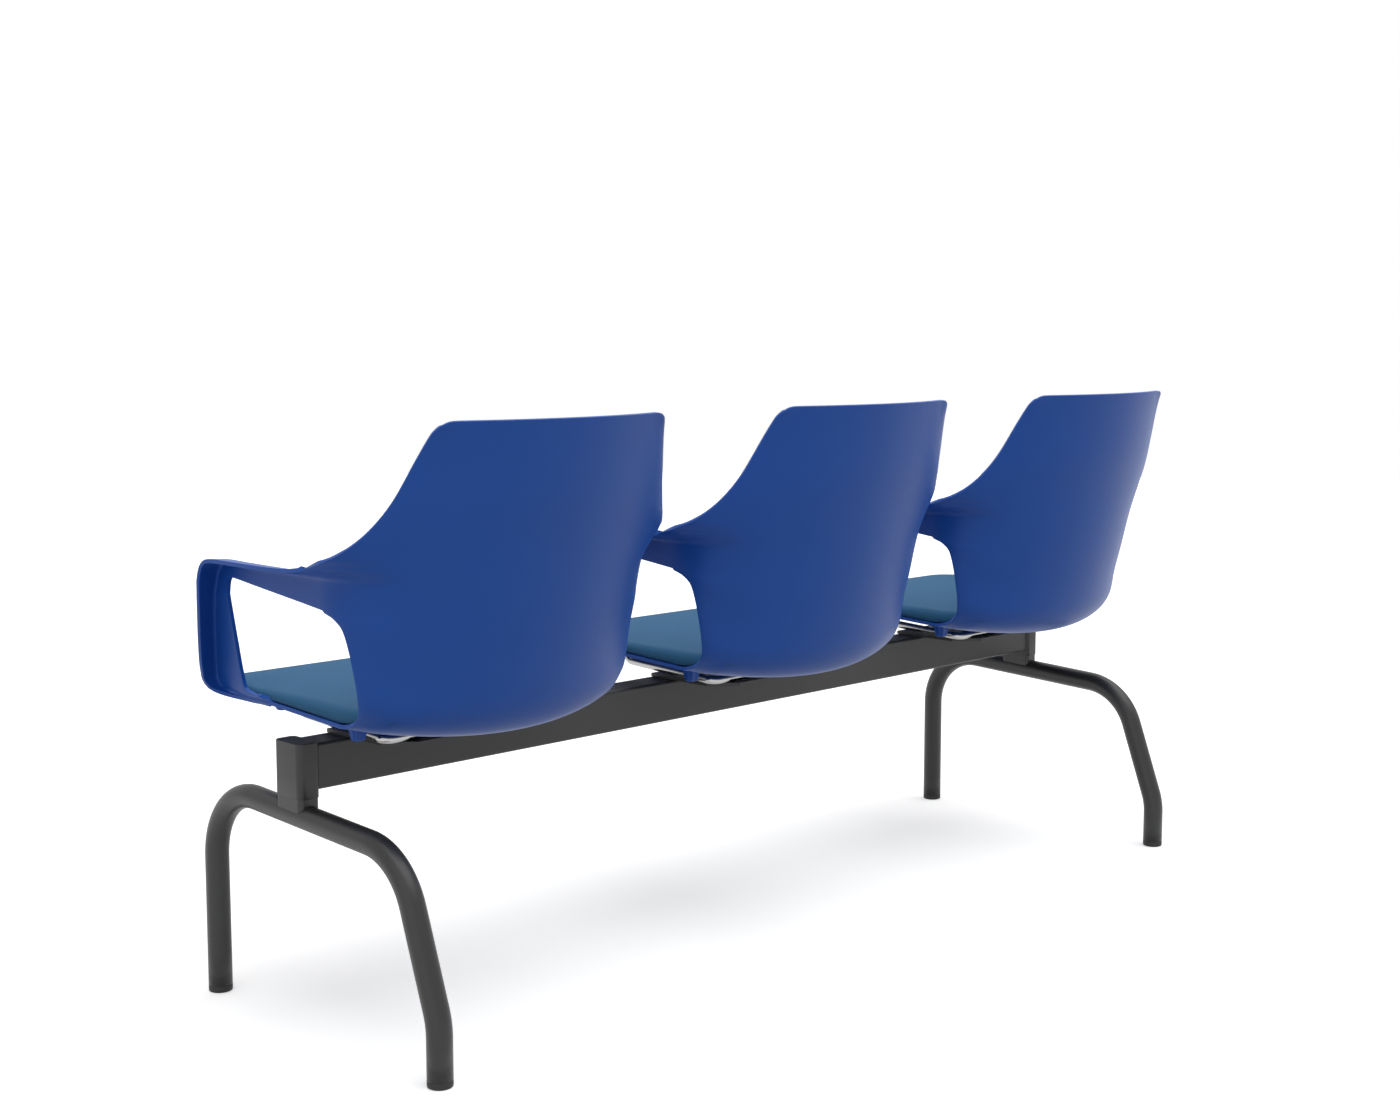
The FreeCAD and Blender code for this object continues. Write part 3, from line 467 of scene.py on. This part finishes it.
def padPart():
    # Plan outline as straight sides, round front corners and an arc behind;
    # the top rolls over at the edge and rises to a crown.
    inside = shell["thick"] + pad["clear"]
    r = float(skinRadius(pad["level"])) - inside
    rear = float(skinRear(pad["level"])) - inside
    corner = pad["rearHalf"]

    def behind(x):
        return rear - r + np.sqrt(r * r - x * x)

    h, f, c = pad["half"], pad["front"], pad["corner"]
    q = np.linspace(0, math.pi / 2, 12)
    side = np.concatenate([np.stack([h - c + c * np.sin(q), f + c - c * np.cos(q)], axis=1),
                           [[h, -90], [h, -30], [h, 30], [h, 85], [h, 122], [h - 1.5, 144], [h - 7.5, 163],
                            [corner, float(behind(corner))]]])
    m = travel(side)
    edgeAt = steadyCurve(m, side)
    # Rows and columns lie close together near the edge, where the top rolls
    steps = np.array([0, 0.6, 1.6, 3, 4.8, 7, 9.5, 12.5, 17, 23, 30, 38])
    long, even, wide = rear - f, 48, 195
    down = np.concatenate([steps, np.linspace(even, long - even, 34), long - steps[::-1]])
    edge = edgeAt(m[-1] * down / long)
    edge[-1] = corner, behind(corner)
    inner = np.linspace(0, 1, 15)[1:-1]
    u = np.concatenate([1 - steps / wide, (1 - steps[-1] / wide) * (1 - inner)])
    u = np.concatenate([-u, [0], u[::-1]])[None, :]
    x = edge[:, :1] * u
    ex = edge[:, :1]
    bow = (r - np.sqrt(r * r - x * x)) / (r - np.sqrt(r * r - ex * ex))
    y = (f + down)[:, None] + (edge[:, 1:2] - (f + down)[:, None]) * bow
    loop = edgeAt(np.linspace(0, m[-1], 160))
    # Distance of each point from the outline
    back = np.linspace(corner, 0, 40)[1:]
    half = np.concatenate([loop, np.stack([back, behind(back)], axis=1)])
    full = np.concatenate([half, half[::-1] * [-1, 1], half[:1]])
    flat = np.stack([x, y], axis=-1).reshape(-1, 1, 2)
    p, d = full[None, :-1], np.diff(full, axis=0)[None]
    t = np.clip(((flat - p) * d).sum(-1) / np.maximum((d * d).sum(-1), 1e-9), 0, 1)
    gap = np.linalg.norm(flat - p - t[..., None] * d, axis=-1).min(1).reshape(x.shape)
    bend = pad["rollFront"] + pad["rollGrowth"] * (y - pad["rollFrom"])
    bend = np.clip(bend, pad["rollFront"], pad["roll"])
    q = np.clip(1 - gap / bend, 0, 1)
    drop = bend * (1 - np.sqrt(np.maximum(1 - q * q, 0)))
    rise = pad["crown"] * (1 - (1 - np.clip(gap / pad["crownReach"], 0, 1)) ** 2)
    top = np.stack([x, y, pad["level"] - drop + rise], axis=-1)
    # The underside is drawn in, tucked forward behind, and follows the pan
    way = np.stack([x, y - pad["drawMiddle"]], axis=-1)
    k = 1 - pad["draw"] / np.maximum(reach(way), 60)
    under = way * k + [0, pad["drawMiddle"]]
    under[..., 1] -= pad["tuck"] * smoothStep(under[..., 1], pad["tuckFrom"], pad["tuckTo"])
    bx, by = under[..., 0], under[..., 1]
    past = np.maximum(0, by - (pad["turnFrom"] - pad["turnLean"] * np.abs(bx)))
    bz = panLevel(bx, by) + shell["thick"] + pad["turnRise"] * past ** 2 + pad["gap"]
    bottom = np.stack([bx, by, bz], axis=-1)
    n, w = x.shape
    ring = [np.concatenate([g[0, :-1], g[:-1, -1], g[-1, :0:-1], g[:0:-1, 0]]) for g in (top, bottom)]
    wall = np.stack([ring[0] + (ring[1] - ring[0]) * s for s in np.linspace(0, 1, 6)])
    return [(top, gridFaces(n, w)), (bottom, gridFaces(n, w, flip=True)),
            (wall, gridFaces(*wall.shape[:2], closed=True, flip=True))]


def roundedPath(corners, bend, arcSteps=14, runStep=40.0):
    # Straight runs joined by circular arcs, as points with their directions.
    pts = np.array(corners, float)
    line = [pts[0]]
    for i in range(1, len(pts) - 1):
        d0, d1 = unit(pts[i] - pts[i - 1]), unit(pts[i + 1] - pts[i])
        turn = math.acos(float(np.clip(d0 @ d1, -1, 1)))
        back = bend * math.tan(turn / 2)
        a = pts[i] - d0 * back
        side = unit(d1 - d0 * (d0 @ d1))
        centre = a + side * bend
        q = np.linspace(0, turn, arcSteps)[:, None]
        line.append(centre - side * bend * np.cos(q) + d0 * bend * np.sin(q))
    line.append(pts[-1])
    path = np.concatenate([np.atleast_2d(p) for p in line])
    length = np.linalg.norm(np.diff(path, axis=0), axis=1)
    out = [path[:1]]
    for i, size in enumerate(length):
        n = max(1, int(size / runStep))
        t = np.linspace(0, 1, n + 1)[1:, None]
        out.append(path[i] + (path[i + 1] - path[i]) * t)
    return np.concatenate(out)


def tubePart(path, radius, sides):
    # A circle carried along the path; its side direction is carried on from
    # station to station and kept square to the run.
    run = unit(np.gradient(path, axis=0))
    side = np.zeros_like(path)
    side[0] = unit(np.cross(run[0], [0.3, 0.9, 0.1]))
    for i in range(1, len(path)):
        side[i] = unit(side[i - 1] - run[i] * (side[i - 1] @ run[i]))
    over = np.cross(run, side)
    q = np.linspace(0, 2 * math.pi, sides, endpoint=False)[None, :, None]
    ring = path[:, None] + radius * (np.cos(q) * side[:, None] + np.sin(q) * over[:, None])
    shrink = np.array([0.55, 0.02])[:, None, None]
    caps = [path[end] + (ring[end] - path[end]) * shrink for end in (0, -1)]
    pts = np.concatenate([caps[0][::-1], ring, caps[1]])
    return pts, gridFaces(*pts.shape[:2], closed=True)


def turnedPart(x, y, profile, sides=48):
    # A profile of radius and height turned about an upright axis.
    p = np.array(profile, float)
    q = np.linspace(0, 2 * math.pi, sides, endpoint=False)[None, :]
    pts = np.stack([x + p[:, :1] * np.cos(q), y + p[:, :1] * np.sin(q), p[:, 1:2] + 0 * q], axis=-1)
    return pts, gridFaces(*pts.shape[:2], closed=True)


rod = {
    "x": 135.0, "radius": 6.0, "bend": 13.0, "rearY": 112.0, "rearZ": 382.3, "slope": 0.05,
    "frontY": -70.0, "frontTop": 405.0,
    "tabHalfWide": 13.0, "tabHalfLong": 25.0, "tabThick": 4.0, "tabY": -86.0, "tabCorner": 0.6,
    "tabDrop": 0.8, "screwY": -97.0,
}


def rodPath(x):
    # One rod bent round the rear, with both ends turned up in front.
    rearZ, rise = rod["rearZ"], rod["slope"] * (rod["rearY"] - rod["frontY"])
    half = [(rod["x"], rod["frontY"], rod["frontTop"]), (rod["x"], rod["frontY"], rearZ + rise),
            (rod["x"], rod["rearY"], rearZ)]
    corners = [(x + cx, cy, cz) for cx, cy, cz in half] + [(x - cx, cy, cz) for cx, cy, cz in half[::-1]]
    return roundedPath(corners, rod["bend"], 10)


def tabPart(x):
    # Flat plate with round corners, lying along the pan at its front screw.
    q = np.linspace(0, 2 * math.pi, 40, endpoint=False)[None, :]
    inset = np.array([1.0, 0.0, 0.0, 1.0, 9.0, 12.9])[:, None]
    zs = np.array([-rod["tabThick"], 0.6 - rod["tabThick"], -0.6, 0.0, 0.0, 0.0])[:, None]
    px = squared(np.cos(q), rod["tabCorner"]) * (rod["tabHalfWide"] - inset)
    py = squared(np.sin(q), rod["tabCorner"]) * (rod["tabHalfLong"] - inset * 1.9)
    y = rod["tabY"] + py
    screw = rod["screwY"]
    top = panLevel(rod["x"] - rod["tabHalfWide"], screw) - rod["tabDrop"]
    lean = (panLevel(rod["x"], screw + 1) - panLevel(rod["x"], screw - 1)) / 2
    pts = np.stack([x + px, y, top + zs + lean * (y - screw)], axis=-1)
    return pts, gridFaces(*pts.shape[:2], closed=True)


leg = {
    "x": 771.1, "radius": 16.0, "bend": 96.0, "bar": 278.1, "fall": 0.0515,
    "frontY": -196.1, "rearY": 217.6, "footY": 287.2, "kneeZ": 76.0, "glide": 9.0,
}
# Radius and height up the glide: a collar below, a plug inside the tube
glideProfile = [(0.02, 0), (10, 0), (14.2, 0.15), (15.4, 0.8), (16, 2.2), (16, 8.2), (15.6, 8.9), (13.2, 9),
                (13.2, 28), (12, 29.8), (0.02, 29.8)]


def legPath(x):
    # Up the front foot, back along the sloping bar, out and down to the rear.
    front, rear, foot = leg["frontY"], leg["rearY"], leg["footY"]
    corners = [(x, front, leg["glide"]), (x, front, leg["bar"] - leg["fall"] * front),
               (x, rear, leg["bar"] - leg["fall"] * rear), (x, foot, leg["kneeZ"]), (x, foot, leg["glide"])]
    return roundedPath(corners, leg["bend"], 22)


head = {
    "inner": 755.6, "wide": 31.0, "deep": 58.0, "low": 302.1, "high": 373.5, "waist": 330.0,
    "innerRound": 6.5, "outerRound": 9.0, "edge": 1.0, "ridge": 14.0,
}


def headPart(side):
    # Rounded rectangle in plan, carried up and drawn in at the top edge.
    x0, x1, h = head["inner"], head["inner"] + head["wide"], head["deep"] / 2
    ring = []
    for cx, cy, r, start in ((x1, h, head["outerRound"], 0), (x0, h, head["innerRound"], 1),
                             (x0, -h, head["innerRound"], 2), (x1, -h, head["outerRound"], 3)):
        q = np.linspace(0, math.pi / 2, 12) + start * math.pi / 2
        ox = cx - r if start in (0, 3) else cx + r
        oy = cy - r if start in (0, 1) else cy + r
        ring.append(np.stack([ox + r * np.cos(q), oy + r * np.sin(q), np.cos(q), np.sin(q)], axis=1))
    ring = np.concatenate(ring)
    e = head["edge"]
    q = np.linspace(0, math.pi / 2, 6)
    low, high = head["low"], head["high"]
    zs = np.concatenate([[low, low, low + 0.5, head["waist"]], high - e + e * np.sin(q), [high] * 3])
    inset = np.concatenate([[3.0, 0.4, 0.0, 0.0], e * (1 - np.cos(q)), [3.0, 5.0, 6.4]])
    pts = np.stack([ring[None, :, 0] - inset[:, None] * ring[None, :, 2],
                    ring[None, :, 1] - inset[:, None] * ring[None, :, 3],
                    zs[:, None] + 0 * ring[None, :, 0]], axis=-1)
    top = pts[-1:].copy()
    top[..., 0] = (x0 + x1) / 2
    top[..., 1] = np.clip(top[..., 1], -h + head["ridge"], h - head["ridge"])
    pts = np.concatenate([pts, top])
    pts[..., 0] *= side
    return pts, gridFaces(*pts.shape[:2], closed=True, flip=side < 0)


class Sock:
    # A node socket that can be used in arithmetic.
    def __init__(self, tree, socket):
        self.tree, self.socket = tree, socket

    def calc(self, kind, *pair):
        n = self.tree.nodes.new("ShaderNodeMath")
        n.operation = kind
        for slot, v in zip(n.inputs, pair):
            if isinstance(v, Sock):
                self.tree.links.new(v.socket, slot)
            else:
                slot.default_value = v
        return Sock(self.tree, n.outputs[0])

    def __add__(self, other):
        return self.calc("ADD", self, other)

    def __radd__(self, other):
        return self.calc("ADD", other, self)

    def __mul__(self, other):
        return self.calc("MULTIPLY", self, other)

    def __rmul__(self, other):
        return self.calc("MULTIPLY", other, self)

    def larger(self, other):
        return self.calc("MAXIMUM", self, other)


class Finish:
    # One material: principled shader plus helpers for its nodes.
    def __init__(self, name, **fixed):
        self.mat = bpy.data.materials.new(name)
        self.mat.use_nodes = True
        self.tree = self.mat.node_tree
        self.shader = self.tree.nodes["Principled BSDF"]
        for key, value in fixed.items():
            self.shader.inputs[key].default_value = value

    def node(self, kind, settings=None, out=0, **values):
        # Settings come first, then each socket's value or link by its name.
        n = self.tree.nodes.new(kind)
        for key, value in (settings or {}).items():
            if key == "stops":
                ramp = n.color_ramp
                for i, (pos, colour) in enumerate(value):
                    stop = ramp.elements[i] if i < 2 else ramp.elements.new(pos)
                    stop.position, stop.color = pos, (*colour, 1)
            else:
                setattr(n, key, value)
        for key, value in values.items():
            if isinstance(value, Sock):
                self.tree.links.new(value.socket, n.inputs[key])
            else:
                n.inputs[key].default_value = value
        return Sock(self.tree, n.outputs[out])

    def place(self, scale=(1, 1, 1)):
        # Object coordinates, stretched by the scale.
        where = self.node("ShaderNodeTexCoord", out=3)
        return self.node("ShaderNodeMapping", Vector=where, Scale=scale)

    def noise(self, where, scale, detail=2.0, rough=0.5):
        return self.node("ShaderNodeTexNoise", Vector=where, Scale=scale, Detail=detail, Roughness=rough)

    def wire(self, name, value):
        self.tree.links.new(value.socket, self.shader.inputs[name])

    def mixColour(self, factor, a, b):
        # Numbers, colours or sockets; 6 and 7 are the two colour inputs.
        n = self.tree.nodes.new("ShaderNodeMix")
        n.data_type = "RGBA"
        for slot, v in ((n.inputs[0], factor), (n.inputs[6], a), (n.inputs[7], b)):
            if isinstance(v, Sock):
                self.tree.links.new(v.socket, slot)
            else:
                slot.default_value = v if isinstance(v, (int, float)) else (*v, 1)
        return Sock(self.tree, n.outputs[2])

    def bump(self, height, strength, distance):
        n = self.node("ShaderNodeBump", Height=height, Strength=strength, Distance=distance)
        self.wire("Normal", n)


colours = {
    "shellDeep": (0.010, 0.078, 0.370), "shellLight": (0.014, 0.092, 0.440),
    "padDark": (0.008, 0.085, 0.190), "padLight": (0.020, 0.130, 0.270),
    "coatDark": (0.020, 0.020, 0.020), "coatLight": (0.032, 0.032, 0.032),
    "legDark": (0.013, 0.013, 0.014), "legLight": (0.021, 0.021, 0.022),
    "headDark": (0.024, 0.024, 0.024), "headLight": (0.036, 0.036, 0.036),
    "blackDark": (0.012, 0.012, 0.012), "blackLight": (0.024, 0.024, 0.024),
    "rodDark": (0.33, 0.33, 0.33), "rodLight": (0.46, 0.45, 0.44),
    "zincDark": (0.42, 0.42, 0.41), "zincLight": (0.56, 0.55, 0.52),
    "woodDark": (0.36, 0.25, 0.14), "woodLight": (0.56, 0.42, 0.26),
}


def shellPlastic():
    # Faint clouds of colour under a fine moulded grain.
    f = Finish("shellPlastic", IOR=1.33)
    p = f.place()
    cloud = f.noise(p, 9.0, 2.0)
    grain = f.noise(p, 1500.0, 2.0, 0.6)
    mottle = cloud * 0.6 + grain * 0.35
    f.wire("Base Color", f.mixColour(mottle, colours["shellDeep"], colours["shellLight"]))
    f.wire("Roughness", grain * 0.12 + cloud * 0.05 + 0.33)
    f.bump(grain + cloud * 0.2, 0.25, 0.0002)
    return f.mat


def padWeave():
    # Two crossed sets of threads on object coordinates, flecked by noise.
    f = Finish("padWeave", IOR=1.45, **{"Sheen Weight": 0.08, "Sheen Roughness": 0.45})
    p = f.place()
    fleck = f.noise(f.place((1.0, 1.0, 0.4)), 900.0, 3.0, 0.7)

    def threads(axis, scale, waver):
        return f.node("ShaderNodeTexWave", {"bands_direction": axis}, out=1, Vector=p, Scale=scale,
                      Distortion=waver, Detail=1.0)

    cloth = threads("X", 190.0, 0.6) * threads("Y", 190.0, 0.6) + threads("Z", 160.0, 0.8) * 0.35
    f.wire("Base Color", f.mixColour(cloth * 0.35 + fleck * 0.75, colours["padDark"], colours["padLight"]))
    f.wire("Roughness", fleck * 0.15 + 0.78)
    f.bump(cloth * 0.8 + fleck * 0.6, 0.5, 0.0005)
    return f.mat


def powderCoat(name, dark, light, rough):
    # Orange-peel bumps with a painted highlight: their colour is a little lighter on their tops.
    f = Finish(name, IOR=1.5)
    p = f.place()
    peelAndHighlight = f.noise(p, 620.0, 3.0, 0.6)
    cloud = f.noise(p, 14.0, 2.0)
    # The bump height also lightens the colour, a painted highlight on the bump tops, mixed with random
    # clouds of tone
    f.wire("Base Color", f.mixColour(peelAndHighlight * 0.7 + cloud * 0.3, colours[dark], colours[light]))
    f.wire("Roughness", peelAndHighlight * 0.14 + rough)
    f.bump(peelAndHighlight, 0.35, 0.0003)
    return f.mat


def polishedSteel():
    # Drawing marks run along y, the rods' longest way.
    f = Finish("polishedSteel", Metallic=1.0)
    p = f.place()
    draw = f.noise(f.place((40.0, 3.0, 40.0)), 40.0, 3.0, 0.6)
    f.wire("Base Color", f.mixColour(draw, colours["rodDark"], colours["rodLight"]))
    f.wire("Roughness", draw * 0.12 + 0.14)
    f.bump(f.noise(p, 300.0), 0.05, 0.0001)
    return f.mat


def mattPlastic(name, dark, light, rough):
    f = Finish(name, IOR=1.46)
    p = f.place()
    grain = f.noise(p, 800.0, 3.0, 0.6)
    f.wire("Base Color", f.mixColour(grain, colours[dark], colours[light]))
    f.wire("Roughness", grain * 0.1 + rough)
    f.bump(grain, 0.3, 0.0002)
    return f.mat


def zincSteel():
    f = Finish("zincSteel", Metallic=1.0)
    p = f.place()
    spangle = f.noise(p, 260.0, 3.0)
    f.wire("Base Color", f.mixColour(spangle, colours["zincDark"], colours["zincLight"]))
    f.wire("Roughness", spangle * 0.2 + 0.28)
    f.bump(spangle, 0.1, 0.0001)
    return f.mat


def plyWood():
    f = Finish("plyWood")
    p = f.place((1.0, 14.0, 60.0))
    grain = f.noise(p, 9.0, 4.0, 0.6)
    f.wire("Base Color", f.mixColour(grain, colours["woodDark"], colours["woodLight"]))
    f.wire("Roughness", grain * 0.2 + 0.6)
    f.bump(grain, 0.15, 0.0004)
    return f.mat


finishes = {
    "shell": shellPlastic(), "pad": padWeave(),
    "beam": powderCoat("beamCoat", "coatDark", "coatLight", 0.42),
    "leg": powderCoat("legCoat", "legDark", "legLight", 0.32),
    "head": mattPlastic("headPlastic", "headDark", "headLight", 0.4),
    "rod": polishedSteel(), "zinc": zincSteel(), "board": plyWood(),
    "black": mattPlastic("blackPlastic", "blackDark", "blackLight", 0.5),
}
print("finishes made")


shellFirst = makeMesh("seatShell1", shellParts(), merge=0.02)
addModifier(shellFirst, "SOLIDIFY", thickness=shell["thick"] * mm, offset=-1, use_even_offset=True)
addModifier(shellFirst, "BEVEL", width=shell["edgeRound"] * mm, segments=3, limit_method="ANGLE",
            angle_limit=math.radians(40))
applyModifiers(shellFirst)
bossParts = [bossPart(side * boss["x"], y, tip) for side in (1, -1) for y, tip in boss["rows"]]
bosses = makeMesh("bossFeet", bossParts)
join = bmesh.new()
join.from_mesh(shellFirst.data)
join.from_mesh(bosses.data)
join.to_mesh(shellFirst.data)
join.free()
bpy.data.objects.remove(bosses)
shellFirst.data.shade_smooth()
print("shell made", len(shellFirst.data.polygons))

padFirst = makeMesh("seatPad1", padPart(), merge=0.02)
print("pad made", len(padFirst.data.polygons))

for i, x in enumerate(seatX):
    n = str(i + 1)
    piece = copyAt(shellFirst, "seatShell" + n, x)
    place(piece, ["seat_shell_" + n], finishes["shell"])
    piece = copyAt(padFirst, "seatPad" + n, x)
    place(piece, ["seat_pad_" + n], finishes["pad"])
    parts = [tubePart(rodPath(x), rod["radius"], 28), tabPart(x + rod["x"]), tabPart(x - rod["x"])]
    piece = makeMesh("seatRods" + n, parts)
    place(piece, ["rod_frame_" + n], finishes["rod"])
bpy.data.objects.remove(shellFirst)
bpy.data.objects.remove(padFirst)

for name, side in (("left", 1), ("right", -1)):
    x = side * leg["x"]
    piece = makeMesh("legTube." + name, [tubePart(legPath(x), leg["radius"], 56)])
    place(piece, ["leg_frame_" + name], finishes["leg"])
    piece = makeMesh("postHead." + name, [headPart(side)])
    place(piece, ["post_cap_" + name], finishes["head"])
    for end, y in (("front", leg["frontY"]), ("rear", leg["footY"])):
        piece = makeMesh("footGlide." + end + "." + name, [turnedPart(x, y, glideProfile)])
        place(piece, ["foot_glide_" + end + "_" + name], finishes["black"])

# Solids that stay as they are get a material only
kept = {"beam_tube": "beam", "leg_post": "leg", "carrier_plate": "beam", "plate_bolts": "zinc",
        "seat_spacers": "black", "shell_screws": "zinc", "pad_board": "board", "beam_end_screws": "zinc"}
for name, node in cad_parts.items():
    for start, finish in kept.items():
        if name.startswith(start):
            node.data.materials.clear()
            node.data.materials.append(finishes[finish])
print("pieces made")


studio = {
    "world": 0.36,          # light of the surroundings on matt surfaces
    "top": {"power": 2.05, "way": (0.1, -0.25, -1.0), "soft": 70.0},
    "side": {"power": 0.35, "way": (-1.0, -0.35, -0.35), "soft": 60.0},
    "floor": 0.94, "bounce": 0.3, "glow": 0.4, "floorRadius": 9000.0,
}


def rayMask(tree, *kinds):
    # 1 for rays of the kinds named, 0 for all others.
    rays = tree.nodes.new("ShaderNodeLightPath")
    first, *rest = [Sock(tree, rays.outputs["Is " + kind + " Ray"]) for kind in kinds]
    for mask in rest:
        first = first.larger(mask)
    return first


def makeStage():
    # The floor and the surroundings look white to the camera and in mirrors,
    # and throw back less light than that, so that the shadow stays.
    q = np.linspace(0, 2 * math.pi, 64, endpoint=False)[None, :]
    r = np.array([0.02, studio["floorRadius"]])[:, None]
    pts = np.stack([r * np.cos(q), r * np.sin(q), 0 * r * q], axis=-1)
    floor = makeMesh("studioFloor", [(pts, gridFaces(2, 64, closed=True))])
    f = Finish("studioFloorPaint", Roughness=0.9, **{"Emission Strength": 1.0})
    w, b = studio["floor"], studio["bounce"]
    direct = rayMask(f.tree, "Camera", "Glossy")
    f.wire("Base Color", f.mixColour(direct, (b, b, b), (w, w, w)))
    f.wire("Emission Color", f.mixColour(direct, (0, 0, 0), (studio["glow"],) * 3))
    floor.data.materials.append(f.mat)
    world = bpy.data.worlds.new("studioAir")
    bpy.context.scene.world = world
    world.use_nodes = True
    tree = world.node_tree
    back = tree.nodes["Background"]
    plain = rayMask(tree, "Camera", "Glossy", "Transmission")
    level = plain * (1.0 - studio["world"]) + studio["world"]
    tree.links.new(level.socket, back.inputs["Strength"])
    back.inputs["Color"].default_value = (1, 1, 1, 1)


def makeSun(name, power, way, soft):
    # Way is where the light travels, soft its apparent size in degrees.
    light = bpy.data.lights.new(name, "SUN")
    light.energy = power
    light.angle = math.radians(soft)
    lamp = bpy.data.objects.new(name, light)
    bpy.context.scene.collection.objects.link(lamp)
    lamp.rotation_mode = "QUATERNION"
    lamp.rotation_quaternion = Vector(way).to_track_quat("-Z", "Y")


view = {
    "place": (2144.95, 2095.43, 895.70), "turn": -45.006, "dip": 6.3777,
    "wide": 1400.0, "tall": 1100.0, "focal": 1974.57, "centre": (700.13, 545.22),
}


def makeCamera():
    # Pinhole fitted to the picture: focal length and centre in its pixels.
    data = bpy.data.cameras.new("viewCamera")
    cam = bpy.data.objects.new("viewCamera", data)
    bpy.context.scene.collection.objects.link(cam)
    wide, tall = view["wide"], view["tall"]
    data.sensor_fit = "HORIZONTAL"
    data.sensor_width = 36.0
    data.lens = view["focal"] * 36.0 / wide
    data.shift_x = (wide / 2 - view["centre"][0]) / wide
    data.shift_y = (view["centre"][1] - tall / 2) / wide
    data.clip_end = 100.0
    cam.location = Vector(toFrame(np.array(view["place"])))
    turn, dip = math.radians(view["turn"]), math.radians(view["dip"])
    ahead = Vector((math.sin(turn) * math.cos(dip), -math.cos(turn) * math.cos(dip), -math.sin(dip)))
    cam.rotation_mode = "QUATERNION"
    cam.rotation_quaternion = ahead.to_track_quat("-Z", "Y")
    bpy.context.scene.camera = cam


makeStage()
makeSun("topLight", **studio["top"])
makeSun("sideLight", **studio["side"])
makeCamera()
bpy.context.scene.view_settings.view_transform = "Standard"
